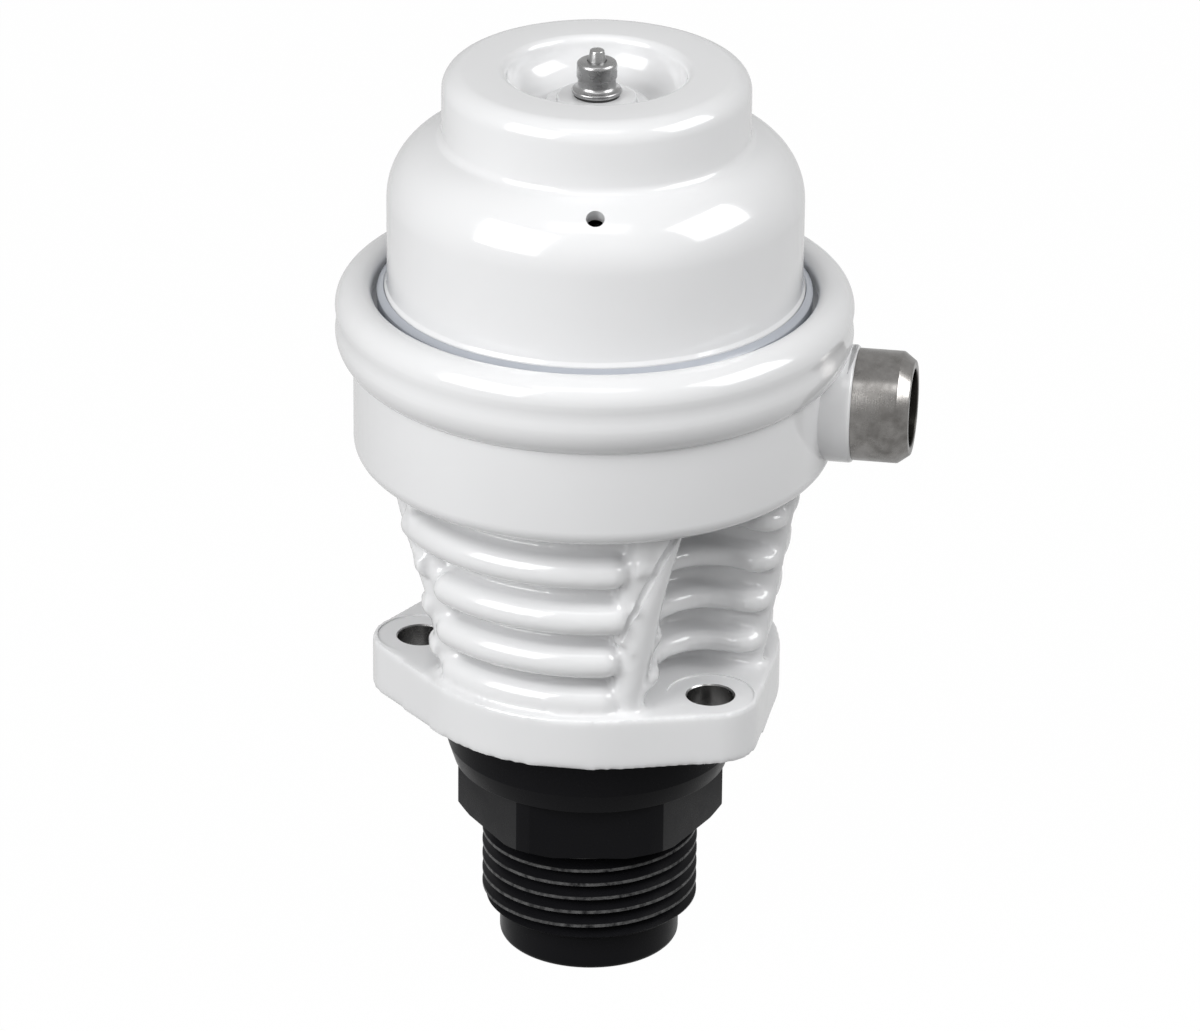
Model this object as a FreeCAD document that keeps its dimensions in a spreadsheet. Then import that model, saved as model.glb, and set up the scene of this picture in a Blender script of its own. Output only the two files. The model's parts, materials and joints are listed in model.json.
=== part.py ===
# Charge air pressure valve: a spring-loaded diaphragm relief valve on a threaded inlet.
# Millimetres. The origin is the centre of the flange's underside, +Z points up to the cover
# and +X runs along the outlet tube.
import FreeCAD, Part
import math
import os

import Sketcher

doc = FreeCAD.newDocument("ChargeAirValve")
sheet = doc.addObject("Spreadsheet::Sheet", "Sizes")


class Size:
    # A length, an angle or a plain factor: its number now, and the sheet formula behind it.
    def __init__(self, number, formula=None):
        self.number = float(number)
        self.formula = formula or repr(float(number))

    def joined(self, other, sign, number):
        return Size(number, f"({self.formula} {sign} {as_size(other).formula})")

    def __add__(self, other):
        return self.joined(other, "+", self.number + as_size(other).number)

    def __sub__(self, other):
        return self.joined(other, "-", self.number - as_size(other).number)

    def __mul__(self, other):
        return self.joined(other, "*", self.number * as_size(other).number)

    def __truediv__(self, other):
        return self.joined(other, "/", self.number / as_size(other).number)

    def __neg__(self):
        return Size(0) - self

    def __rsub__(self, other):
        return as_size(other) - self

    __radd__ = __add__
    __rmul__ = __mul__


def as_size(value):
    return value if isinstance(value, Size) else Size(value)


def root(value):
    return Size(math.sqrt(value.number), f"sqrt({value.formula})")


def smaller(first, second):
    return Size(min(first.number, second.number), f"min({first.formula}; {second.formula})")


def cosine(angle):
    return Size(math.cos(math.radians(angle.number)), f"cos({angle.formula})")


def sine(angle):
    return Size(math.sin(math.radians(angle.number)), f"sin({angle.formula})")


# The driving dimensions. Each row is a name and its value.
driving = {
    # flange and its three bolt holes
    "flange_thickness": 10.5,
    "flange_radius": 36.4,
    "flange_edge_round": 1.2,
    "bolt_circle_radius": 33.0,
    "bolt_hole_radius": 4.5,
    "bolt_ear_radius": 9.3,
    "bolt_angle_left": 187.5,
    "bolt_angle_right": 322.5,
    "bolt_angle_back": 75.0,
    "spot_face_radius": 8.4,
    "spot_face_depth": 0.3,
    "collar_relief_width": 1.1,
    "collar_relief_depth": 0.5,
    "collar_relief_gap": 0.2,
    # finned neck
    "neck_height": 38.9,
    "neck_wall": 3.0,
    "neck_root_radius_low": 28.5,
    "neck_root_radius_high": 35.0,
    "fin_radius_low": 34.2,
    "fin_radius_high": 41.0,
    "scallop_radius": 10.5,
    "hollow_shift": 0.5,
    "web_offset": 28.3,
    "thick_rib_left_gap": 10.7,
    "thick_rib_right_gap": 4.7,
    "thick_rib_height": 6.0,
    "thick_rib_pitch": 10.0,
    "thick_rib_count": 4,
    "thick_rib_low": 11.4,
    "thin_rib_height": 4.0,
    "thin_rib_pitch": 8.9,
    "thin_rib_count": 4,
    "thin_rib_low": 15.9,
    "web_thickness": 3.6,
    # bowl and rim
    "bowl_radius": 45.7,
    "bowl_height": 20.9,
    "bowl_corner_round": 4.5,
    "bowl_floor": 6.1,
    "bowl_wall": 9.7,
    "rim_radius": 49.1,
    "rim_wall": 7.0,
    "rim_height": 15.0,
    "rim_depth": 10.3,
    "rim_low_round": 7.0,
    "rim_high_round": 4.6,
    "rim_inner_round": 2.2,
    "rim_flat": 0.2,
    # passages through the housing
    "passage_radius": 15.5,
    "hub_radius": 8.6,
    "hub_depth": 13.5,
    "hub_edge": 0.5,
    "spoke_count": 3,
    "spoke_thickness": 4.0,
    "spoke_inset": 2.0,
    "spoke_bite": 1.0,
    # outlet tube and its boss
    "tube_radius": 10.65,
    "tube_bore_radius": 7.45,
    "tube_shank_radius": 10.3,
    "tube_height": 14.5,
    "tube_length": 10.8,
    "tube_seat_depth": 2.0,
    "tube_chamfer": 2.3,
    "tube_chamfer_radial": 1.7,
    "boss_radius": 11.2,
    "boss_length": 4.6,
    # cover
    "cover_foot_step": 0.5,
    "cover_foot_sink": 0.3,
    "cover_foot_flare": 1.6,
    "cover_flange_thickness": 3.0,
    "cover_flange_gap": 0.2,
    "cover_wall": 3.3,
    "shoulder_round": 12.5,
    "cover_side_height": 17.5,
    "shoulder_crease_round": 1.6,
    "drum_radius": 29.0,
    "drum_height": 25.6,
    "cover_top_round": 3.9,
    "cover_roof": 13.1,
    "recess_radius": 16.9,
    "recess_mouth_round": 1.5,
    "recess_funnel_round": 6.1,
    "recess_wall_land": 0.1,
    "recess_floor_width": 1.0,
    "recess_depth": 7.7,
    "ledge_height": 1.2,
    "cover_boss_radius": 7.5,
    "cover_boss_height": 1.4,
    "vent_radius": 1.7,
    "vent_turn": 279.0,
    "vent_rise": 52.0,
    # retaining ring
    "ring_face": 1.4,
    "ring_gap": 0.9,
    "ring_slope": 1.1,
    "ring_groove_depth": 1.5,
    "ring_groove_height": 1.9,
    "ring_groove_gap": 0.2,
    "ring_split": 8.0,
    "ring_split_turn": 99.0,
    # diaphragm and its plates
    "diaphragm_thickness": 1.6,
    "diaphragm_gap": 0.5,
    "convolution_inner_round": 2.4,
    "plate_gap": 2.0,
    "lower_plate_thickness": 2.5,
    "upper_plate_thickness": 3.0,
    "plate_lip_height": 2.4,
    "plate_edge_round": 0.8,
    # stem, nuts and indicator
    "stem_radius": 4.0,
    "stem_thread_radius": 3.0,
    "stem_tail": 1.05,
    "stem_head": 4.4,
    "nut_across_flats": 10.0,
    "nut_height": 5.0,
    "washer_radius": 6.5,
    "washer_thickness": 1.0,
    "indicator_radius": 1.75,
    "indicator_tip_radius": 1.3,
    "indicator_tip_height": 2.2,
    "indicator_stand_out": 2.1,
    "indicator_seat_depth": 5.0,
    "indicator_edge_round": 0.35,
    "running_clearance": 0.05,
    # seat and disc
    "seat_bore_radius": 9.5,
    "seat_outer_radius": 14.5,
    "seat_low": 1.0,
    "seat_height": 7.0,
    "seat_chamfer": 1.2,
    "closed_gap": 0.05,
    "disc_radius": 12.4,
    "disc_thickness": 4.0,
    "disc_hub_radius": 6.0,
    "disc_hub_height": 3.0,
    "disc_edge_round": 0.6,
    "disc_rim": 0.8,
    "disc_seal_width": 2.6,
    "disc_seal_thickness": 2.0,
    # guide bush and stem seal
    "bush_radius": 6.0,
    "bush_height": 13.0,
    "bush_sink": 1.0,
    "stem_seal_radius": 7.0,
    "stem_seal_height": 2.6,
    "seal_retainer_radius": 7.6,
    "seal_retainer_height": 0.9,
    "retainer_clearance": 0.3,
    # spring and its seats
    "spring_coil_radius": 20.5,
    "spring_wire_radius": 1.6,
    "spring_turns": 6,
    "spring_turns_per_span": 0.5,
    "spring_end_clearance": 0.05,
    "spring_seat_radius": 24.0,
    "spring_seat_gap": 1.0,
    "spring_seat_thickness": 2.4,
    "spring_seat_hole_radius": 8.0,
    "spring_guide_gap": 0.4,
    "spring_guide_thickness": 2.0,
    "shim_thickness": 0.8,
    "shim_inner_radius": 15.0,
    # guide stub in the cover
    "stub_disc_radius": 4.7,
    "stub_disc_height": 1.0,
    "stub_radius": 3.8,
    "stub_height": 5.4,
    "stub_edge_round": 0.7,
    "stub_waist_depth": 0.25,
    "stub_waist_height": 1.0,
    "stub_waist_level": 1.5,
    "stub_shank_radius": 3.0,
    "stub_tail": 1.4,
    "stub_seal_radius": 4.3,
    "stub_seal_thickness": 0.5,
    # inlet adapter
    "adapter_neck_radius": 20.0,
    "adapter_neck_height": 7.0,
    "adapter_neck_gap": 0.5,
    "collar_radius": 27.9,
    "collar_low_radius": 26.6,
    "collar_straight": 10.0,
    "collar_height": 14.0,
    "hexagon_across_flats": 46.0,
    "hexagon_corner_radius": 25.75,
    "hexagon_turn": 9.0,
    "hexagon_height": 11.7,
    "hexagon_chamfer": 1.0,
    "thread_radius": 21.0,
    "thread_depth": 1.84,
    "thread_pitch": 3.0,
    "thread_length": 19.7,
    "thread_crest": 0.45,
    "thread_end_chamfer": 1.5,
    "spigot_radius": 17.5,
    "spigot_length": 7.7,
    "spigot_edge_round": 1.6,
    "inlet_bore_radius": 12.0,
    "inlet_mouth_chamfer": 0.8,
    "adapter_seal_radius": 23.8,
    "adapter_seal_section": 0.95,
    # how far a cutter stands past what it cuts
    "cutter_margin": 1.0,
}

for row, (name, value) in enumerate(driving.items(), start=1):
    sheet.set(f"A{row}", name)
    sheet.set(f"B{row}", str(value))
    sheet.setAlias(f"B{row}", name)
doc.recompute()


def size(name):
    return Size(sheet.get(name), f"Sizes.{name}")


zero = Size(0)

margin = size("cutter_margin")

# Radii that several pieces share, from the rim inwards.
rim_inner_radius = size("rim_radius") - size("rim_wall")
ring_groove_radius = rim_inner_radius + size("ring_groove_depth")
ring_outer_radius = rim_inner_radius - size("ring_gap")
cover_flange_radius = rim_inner_radius - size("cover_flange_gap")
cover_foot_radius = ring_outer_radius - size("ring_face")
cover_radius = cover_foot_radius - size("cover_foot_step")
cover_inside_radius = cover_radius - size("cover_wall")
shoulder_centre_radius = cover_radius - size("shoulder_round")
drum_inside_radius = size("spring_seat_radius") + size("spring_seat_gap")
convolution_outer_round = size("convolution_inner_round") + size("diaphragm_thickness")
convolution_radius = cover_inside_radius - convolution_outer_round
plate_radius = convolution_radius - size("convolution_inner_round") - size("plate_gap")
chamber_radius = size("bowl_radius") - size("bowl_wall")
passage_wall_radius = size("passage_radius") + size("neck_wall")
spring_guide_radius = (size("spring_coil_radius") - size("spring_wire_radius")
                       - size("spring_guide_gap"))
disc_seal_outer_radius = size("disc_radius") - size("disc_rim")
disc_seal_inner_radius = disc_seal_outer_radius - size("disc_seal_width")
stem_bore_radius = size("stem_radius") + size("running_clearance")
tube_shank_start = chamber_radius + size("tube_seat_depth")
boss_end = size("bowl_radius") + size("boss_length")

# Levels of the housing, from the flange's underside upwards.
bowl_low = size("flange_thickness") + size("neck_height")
chamber_floor = bowl_low + size("bowl_floor")
tube_level = bowl_low + size("tube_height")
rim_low = bowl_low + size("bowl_height")
rim_high = rim_low + size("rim_height")
diaphragm_low = rim_high - size("rim_depth")
diaphragm_high = diaphragm_low + size("diaphragm_thickness")

# Levels of the hub and what it holds.
hub_high = chamber_floor - size("hub_depth")
retainer_high = hub_high - size("hub_edge")
stem_seal_high = retainer_high - size("seal_retainer_height")
bush_high = stem_seal_high - size("stem_seal_height")
bush_low = bush_high - size("bush_height")
hub_low = bush_low - size("bush_sink")

# Levels of the cover and what hangs in it.
cover_flange_high = diaphragm_high + size("cover_flange_thickness")
cover_foot_high = rim_high - size("cover_foot_sink")
shoulder_level = cover_foot_high + size("cover_side_height")
cover_top = shoulder_level + size("drum_height")
ceiling_level = cover_top - size("cover_roof")
recess_floor_level = cover_top - size("recess_depth")
ledge_level = recess_floor_level + size("ledge_height")
cover_boss_level = ledge_level + size("cover_boss_height")
shim_low = ceiling_level - size("shim_thickness")
spring_seat_low = shim_low - size("spring_seat_thickness")
stub_low = cover_boss_level + size("stub_seal_thickness")
stub_high = stub_low + size("stub_disc_height") + size("stub_height")
stub_shank_low = ceiling_level - size("nut_height") - size("stub_tail")

# Levels of the lifting group.
seat_high = size("seat_low") + size("seat_height")
disc_low = seat_high + size("closed_gap")
disc_high = disc_low + size("disc_thickness")
stem_shoulder = disc_high + size("disc_hub_height")
stem_low = disc_low - size("nut_height") - size("stem_tail")
lower_plate_low = diaphragm_low - size("lower_plate_thickness")
upper_plate_high = diaphragm_high + size("upper_plate_thickness")
stem_nut_low = upper_plate_high + size("washer_thickness")
stem_high = stem_nut_low + size("nut_height") + size("stem_head")
indicator_high = stub_high + size("indicator_stand_out")

# Levels of the inlet adapter, from the flange's underside downwards.
hexagon_top = -size("collar_height")
thread_top = hexagon_top - size("hexagon_height")
thread_low = thread_top - size("thread_length")
spigot_low = thread_low - size("spigot_length")


def bind(target, **formulas):
    # Ties properties of an object to sizes from the sheet.
    for name, value in formulas.items():
        target.setExpression(name, as_size(value).formula)


def stand_at(target, x=None, y=None, z=None):
    for axis, value in (("x", x), ("y", y), ("z", z)):
        if value is not None:
            target.setExpression(f".Placement.Base.{axis}", as_size(value).formula)


def turn_about_z(target, angle):
    target.Placement.Rotation = FreeCAD.Rotation(FreeCAD.Vector(0, 0, 1), angle.number)
    target.setExpression(".Placement.Rotation.Angle", f"{angle.formula} * 1 deg")


def new(kind, label):
    made = doc.addObject(kind, label)
    made.Label = label
    return made


def cylinder(label, radius, height, z=zero, x=None, y=None):
    made = new("Part::Cylinder", label)
    bind(made, Radius=radius, Height=height)
    stand_at(made, x, y, z)
    return made


def prism(label, across_flats, height, z):
    made = new("Part::Prism", label)
    made.Polygon = 6
    bind(made, Circumradius=across_flats / math.sqrt(3), Height=height)
    stand_at(made, z=z)
    return made


def box(label, length, width, height, x, y, z):
    made = new("Part::Box", label)
    bind(made, Length=length, Width=width, Height=height)
    stand_at(made, x, y, z)
    return made


def cut(label, base, tool):
    made = new("Part::Cut", label)
    made.Base, made.Tool = base, tool
    return made


def common(label, *shapes):
    made = new("Part::MultiCommon", label)
    made.Shapes = list(shapes)
    return made


def fuse(label, *shapes):
    made = new("Part::MultiFuse", label)
    made.Shapes = list(shapes)
    made.Refine = True
    return made


def outline(body, label, plane_role, corners):
    # A closed sketch. A corner is (x, y), or (x, y, centre x, centre y) where an arc about
    # that centre leads on to the next corner.
    sketch = body.newObject("Sketcher::SketchObject", label)
    plane = next(p for p in body.Origin.OriginFeatures if p.Role == plane_role)
    sketch.AttachmentSupport = [(plane, "")]
    sketch.MapMode = "FlatFace"
    corners = [tuple(as_size(value) for value in corner) for corner in corners]
    spots = [(corner[0].number, corner[1].number) for corner in corners]
    count = len(corners)
    arc_ends = {}
    for index, corner in enumerate(corners):
        here, there = spots[index], spots[(index + 1) % count]
        if len(corner) == 2:
            sketch.addGeometry(Part.LineSegment(
                FreeCAD.Vector(*here, 0), FreeCAD.Vector(*there, 0)))
            continue
        centre = (corner[2].number, corner[3].number)
        start = math.atan2(here[1] - centre[1], here[0] - centre[0])
        end = math.atan2(there[1] - centre[1], there[0] - centre[0])
        sweep = (end - start + math.pi) % (2 * math.pi) - math.pi
        radius = math.dist(here, centre)
        circle = Part.Circle(FreeCAD.Vector(*centre, 0), FreeCAD.Vector(0, 0, 1), radius)
        if sweep > 0:
            sketch.addGeometry(Part.ArcOfCircle(circle, start, start + sweep))
            arc_ends[index] = (1, 2)
        else:
            sketch.addGeometry(Part.ArcOfCircle(circle, end, end - sweep))
            arc_ends[index] = (2, 1)
    for index in range(count):
        following = (index + 1) % count
        end_of_this = arc_ends.get(index, (1, 2))[1]
        start_of_next = arc_ends.get(following, (1, 2))[0]
        sketch.addConstraint(Sketcher.Constraint(
            "Coincident", index, end_of_this, following, start_of_next))

    def fix(kind, geometry, point, value):
        number = sketch.addConstraint(
            Sketcher.Constraint(kind, -1, 1, geometry, point, value.number))
        sketch.setExpression(f"Constraints[{number}]", value.formula)

    for index, corner in enumerate(corners):
        point = arc_ends.get(index, (1, 2))[0]
        kinds = ["DistanceX", "DistanceY"]
        before = (index - 1) % count
        if before in arc_ends:
            # The arc that arrives here already fixes one of the two distances.
            dx = abs(spots[index][0] - corners[before][2].number)
            dy = abs(spots[index][1] - corners[before][3].number)
            kinds = ["DistanceY"] if dx > dy else ["DistanceX"]
        for kind in kinds:
            fix(kind, index, point, corner[0] if kind == "DistanceX" else corner[1])
        if index in arc_ends:
            fix("DistanceX", index, 3, corner[2])
            fix("DistanceY", index, 3, corner[3])
    return sketch


def turned(label, corners, angle=None):
    # A piece turned about the Z axis from an outline of (radius, level) corners.
    body = new("PartDesign::Body", label)
    sketch = outline(body, label + "_outline", "XZ_Plane", corners)
    feature = body.newObject("PartDesign::Revolution", label + "_turning")
    feature.Profile = sketch
    feature.ReferenceAxis = (sketch, ["V_Axis"])
    feature.Angle = 360
    if angle is not None:
        feature.Midplane = True
        bind(feature, Angle=angle)
    return body


def round_rings(body, radius, *places):
    # Rounds the ring edges of a turned piece that lie at the given (radius, level) places.
    doc.recompute()
    tip = body.Tip
    names = []
    for number, edge in enumerate(tip.Shape.Edges, start=1):
        middle = edge.valueAt((edge.FirstParameter + edge.LastParameter) / 2)
        spot = (math.hypot(middle.x, middle.y), middle.z)
        if any(math.dist(spot, (r.number, z.number)) < 0.02 for r, z in places):
            names.append(f"Edge{number}")
    feature = body.newObject("PartDesign::Fillet", body.Label + "_round")
    feature.Base = (tip, names)
    bind(feature, Radius=radius)
    return feature


def washer(label, inner_radius, outer_radius, low, high):
    return turned(label, [
        (inner_radius, low), (outer_radius, low), (outer_radius, high), (inner_radius, high)])


def hexagon_nut(label, low, thread_radius):
    block = prism(label + "_block", size("nut_across_flats"), size("nut_height"), low)
    hole = cylinder(label + "_hole", thread_radius, size("nut_height"), low)
    return cut(label, block, hole)


def bolt_places(circle_radius):
    for side in ("left", "right", "back"):
        angle = size("bolt_angle_" + side)
        yield side, angle, circle_radius * cosine(angle), circle_radius * sine(angle)


def cone_radius(level, low_radius, high_radius):
    # The radius of the neck's taper at a level between the flange and the bowl.
    height = level - size("flange_thickness")
    return low_radius + (high_radius - low_radius) * height / size("neck_height")


def make_flange():
    thickness = size("flange_thickness")
    pieces = [cylinder("flange_disc", size("flange_radius"), thickness)]
    ratio = (size("flange_radius") - size("bolt_ear_radius")) / size("bolt_circle_radius")
    across = root(1 - ratio * ratio)
    near_x, near_y = size("flange_radius") * ratio, size("flange_radius") * across
    far_x = size("bolt_circle_radius") + size("bolt_ear_radius") * ratio
    far_y = size("bolt_ear_radius") * across
    for side, angle, x, y in bolt_places(size("bolt_circle_radius")):
        ear = new("PartDesign::Body", "flange_ear_" + side)
        sketch = outline(ear, "ear_outline_" + side, "XY_Plane", [
            (near_x, -near_y), (far_x, -far_y, size("bolt_circle_radius"), zero),
            (far_x, far_y), (near_x, near_y)])
        pad = ear.newObject("PartDesign::Pad", "ear_pad_" + side)
        pad.Profile = sketch
        bind(pad, Length=thickness)
        turn_about_z(ear, angle)
        pieces.append(ear)
    plate = fuse("flange_plate", *pieces)
    doc.recompute()
    rounded = new("Part::Fillet", "flange_rounded")
    rounded.Base = plate
    top_edges = [
        number for number, edge in enumerate(plate.Shape.Edges, start=1)
        if abs(edge.BoundBox.ZMin - thickness.number) < 0.01]
    edge_round = size("flange_edge_round").number
    rounded.Edges = [(number, edge_round, edge_round) for number in top_edges]
    return rounded


def make_neck():
    # The tapered core, hollowed towards each bolt, with the ribs and webs cast round it.
    low, high, span = size("flange_thickness"), bowl_low, size("neck_height")
    core = turned("neck_core", [
        (zero, low), (size("neck_root_radius_low"), low),
        (size("neck_root_radius_high"), high), (zero, high)])
    rib_limit = turned("neck_rib_limit", [
        (zero, low), (size("fin_radius_low"), low),
        (size("fin_radius_high"), high), (zero, high)])
    # The cast hollows and scallops lie a little further out than the drilled bolt holes.
    hollow_circle = size("bolt_circle_radius") + size("hollow_shift")
    hollow_radius = hollow_circle - passage_wall_radius
    hollows, scallops = [], []
    for side, angle, x, y in bolt_places(hollow_circle):
        hollows.append(cylinder("hollow_" + side, hollow_radius, span, low, x, y))
        scallops.append(cylinder("scallop_" + side, size("scallop_radius"), span, low, x, y))
    shaped_core = cut("neck_hollowed", core, fuse("neck_hollows", *hollows))

    lobe_angle = (size("bolt_angle_left") + size("bolt_angle_right")) / 2
    web_angle = (size("bolt_angle_right") - size("bolt_angle_left")) / 2 - size("web_offset")
    lobe_sector = new("Part::Cylinder", "front_lobe_sector")
    bind(lobe_sector, Radius=size("fin_radius_high") + margin, Height=span,
         Angle=web_angle * 2)
    stand_at(lobe_sector, z=low)
    turn_about_z(lobe_sector, lobe_angle - web_angle)
    thin = []
    for index in range(int(size("thin_rib_count").number)):
        level = size("thin_rib_low") + size("thin_rib_pitch") * index
        radius = cone_radius(level, size("fin_radius_low"), size("fin_radius_high"))
        rib = turned(f"thin_rib_{index + 1}", rib_outline(level, size("thin_rib_height"), radius))
        thin.append(rib)
    thin_ribs = cut("thin_ribs_scalloped", fuse("thin_ribs", *thin),
                    fuse("rib_clearance", lobe_sector, *scallops))

    left_end = web_angle - size("thick_rib_left_gap")
    right_end = web_angle - size("thick_rib_right_gap")
    thick = []
    for index in range(int(size("thick_rib_count").number)):
        level = size("thick_rib_low") + size("thick_rib_pitch") * index
        middle = level + size("thick_rib_height") / 2
        radius = cone_radius(middle, size("fin_radius_low"), size("fin_radius_high"))
        rib = turned(f"thick_rib_{index + 1}",
                     rib_outline(level, size("thick_rib_height"), radius),
                     angle=left_end + right_end)
        turn_about_z(rib, lobe_angle + (right_end - left_end) / 2)
        thick.append(rib)

    # A web stands on both sides of every bolt.
    webs, inner = [], passage_wall_radius
    for side in ("left", "right", "back"):
        for place, direction in (("before", -1), ("after", 1)):
            angle = size("bolt_angle_" + side) + size("web_offset") * direction
            web = box(f"web_block_{place}_{side}", size("fin_radius_high") - inner,
                      size("web_thickness"), span,
                      inner * cosine(angle) + size("web_thickness") / 2 * sine(angle),
                      inner * sine(angle) - size("web_thickness") / 2 * cosine(angle), low)
            turn_about_z(web, angle)
            webs.append(common(f"web_{place}_{side}", web, rib_limit))
    return [shaped_core, thin_ribs, *thick, *webs]


def rib_outline(level, height, radius):
    # A rib that ends in a half round and reaches through the core to the passage's wall.
    inner = passage_wall_radius
    bend = height / 2
    return [
        (inner, level), (radius - bend, level, radius - bend, level + bend),
        (radius, level + bend, radius - bend, level + bend),
        (radius - bend, level + height), (inner, level + height)]


def make_housing():
    # One casting: rim, bowl, tube boss, finned neck and flange.
    overhang = size("rim_radius") - size("bowl_radius")
    outward = 1 if overhang.number > 0 else -1
    low_round = size("rim_low_round") * outward
    rim_low_centre = size("rim_radius") - low_round
    rise = root(low_round * low_round - (low_round - overhang) * (low_round - overhang))
    low_bulge = rim_low + rise
    # The rounds of the rim's top share its wall, and shrink where that is too thin for them.
    share = smaller(Size(1), size("rim_wall") / (
        size("rim_high_round") + size("rim_inner_round") + size("rim_flat")))
    high_round, inner_round = size("rim_high_round") * share, size("rim_inner_round") * share
    high_bulge = rim_high - high_round
    crown = size("rim_radius") - high_round
    lip = rim_inner_radius + inner_round
    lip_level = rim_high - inner_round
    bowl = turned("bowl_and_rim", [
        (zero, bowl_low), (size("bowl_radius"), bowl_low),
        (size("bowl_radius"), rim_low, rim_low_centre, low_bulge),
        (size("rim_radius"), low_bulge), (size("rim_radius"), high_bulge, crown, high_bulge),
        (crown, rim_high), (lip, rim_high, lip, lip_level),
        (rim_inner_radius, lip_level), (zero, lip_level)])
    round_rings(bowl, size("bowl_corner_round"), (size("bowl_radius"), bowl_low))

    boss = cylinder("tube_boss", size("boss_radius"), boss_end - tube_shank_start,
                    tube_level, x=tube_shank_start)
    boss.Placement.Rotation = FreeCAD.Rotation(FreeCAD.Vector(0, 1, 0), 90)
    casting = fuse("casting", bowl, boss, make_flange(), *make_neck())

    ring_groove_low = cover_flange_high
    ring_groove_high = ring_groove_low + size("ring_groove_height") + size("ring_groove_gap")
    groove_radius = ring_groove_radius + size("ring_groove_gap")
    neck_pocket = size("adapter_neck_height") + size("adapter_neck_gap")
    pocket_radius = size("adapter_neck_radius") + size("running_clearance")
    above = rim_high + margin
    passage = turned("passage", [
        (zero, -margin), (pocket_radius, -margin),
        (pocket_radius, neck_pocket), (size("passage_radius"), neck_pocket),
        (size("passage_radius"), chamber_floor), (chamber_radius, chamber_floor),
        (chamber_radius, diaphragm_low),
        (rim_inner_radius, diaphragm_low),
        (rim_inner_radius, ring_groove_low), (groove_radius, ring_groove_low),
        (groove_radius, ring_groove_high), (rim_inner_radius, ring_groove_high),
        (rim_inner_radius, above), (zero, above)])
    tube_seat = cylinder("tube_seat", size("tube_shank_radius"),
                         boss_end - tube_shank_start + margin, tube_level, x=tube_shank_start)
    tube_way = cylinder("tube_way", size("tube_bore_radius"),
                        tube_shank_start - chamber_radius + size("tube_bore_radius") + margin,
                        tube_level, x=chamber_radius - size("tube_bore_radius"))
    for drill in (tube_seat, tube_way):
        drill.Placement.Rotation = FreeCAD.Rotation(FreeCAD.Vector(0, 1, 0), 90)
    # The ring groove round the collar lets a mating plate lie flat on the flange.
    relief_radius = size("collar_radius") + size("collar_relief_gap")
    relief = washer("collar_relief", relief_radius - size("collar_relief_width"),
                    relief_radius, -margin, size("collar_relief_depth"))
    drills = [passage, tube_seat, tube_way, relief]
    for side, angle, x, y in bolt_places(size("bolt_circle_radius")):
        drills.append(cylinder("bolt_hole_" + side, size("bolt_hole_radius"),
                               size("flange_thickness") + margin * 2, -margin, x, y))
        drills.append(cylinder("spot_face_" + side, size("spot_face_radius"),
                               size("spot_face_depth") + margin,
                               size("flange_thickness") - size("spot_face_depth"), x, y))
    bored = cut("housing_bored", casting, fuse("housing_drills", *drills))

    # The hub that holds the stem's bush stands in the passage on three spokes.
    hub = turned("hub", [
        (size("bush_radius"), hub_low), (size("hub_radius"), hub_low),
        (size("hub_radius"), hub_high), (size("seal_retainer_radius"), hub_high),
        (size("seal_retainer_radius"), stem_seal_high), (size("stem_seal_radius"), stem_seal_high),
        (size("stem_seal_radius"), bush_high), (size("bush_radius"), bush_high)])
    spokes = []
    start = size("hub_radius") - size("spoke_bite")
    reach = size("passage_radius") + size("spoke_bite") - start
    half = size("spoke_thickness") / 2
    for index in range(int(size("spoke_count").number)):
        angle = size("bolt_angle_back") + 360 / size("spoke_count").number * index
        spoke = box(f"spoke_{index + 1}", reach, size("spoke_thickness"),
                    hub_high - hub_low - size("spoke_inset") * 2,
                    start * cosine(angle) + half * sine(angle),
                    start * sine(angle) - half * cosine(angle), hub_low + size("spoke_inset"))
        turn_about_z(spoke, angle)
        spokes.append(spoke)
    return fuse("housing", bored, hub, *spokes)


def make_outlet_tube():
    # A tube with a turned-down shank, whose shoulder sits on the boss.
    shank = boss_end - tube_shank_start
    length = shank + size("tube_length")
    tube = turned("outlet_tube", [
        (size("tube_bore_radius"), zero), (size("tube_shank_radius"), zero),
        (size("tube_shank_radius"), shank), (size("tube_radius"), shank),
        (size("tube_radius"), length - size("tube_chamfer")),
        (size("tube_radius") - size("tube_chamfer_radial"), length),
        (size("tube_bore_radius"), length)])
    tube.Placement.Rotation = FreeCAD.Rotation(FreeCAD.Vector(0, 1, 0), 90)
    stand_at(tube, x=tube_shank_start, z=tube_level)
    return tube


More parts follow.
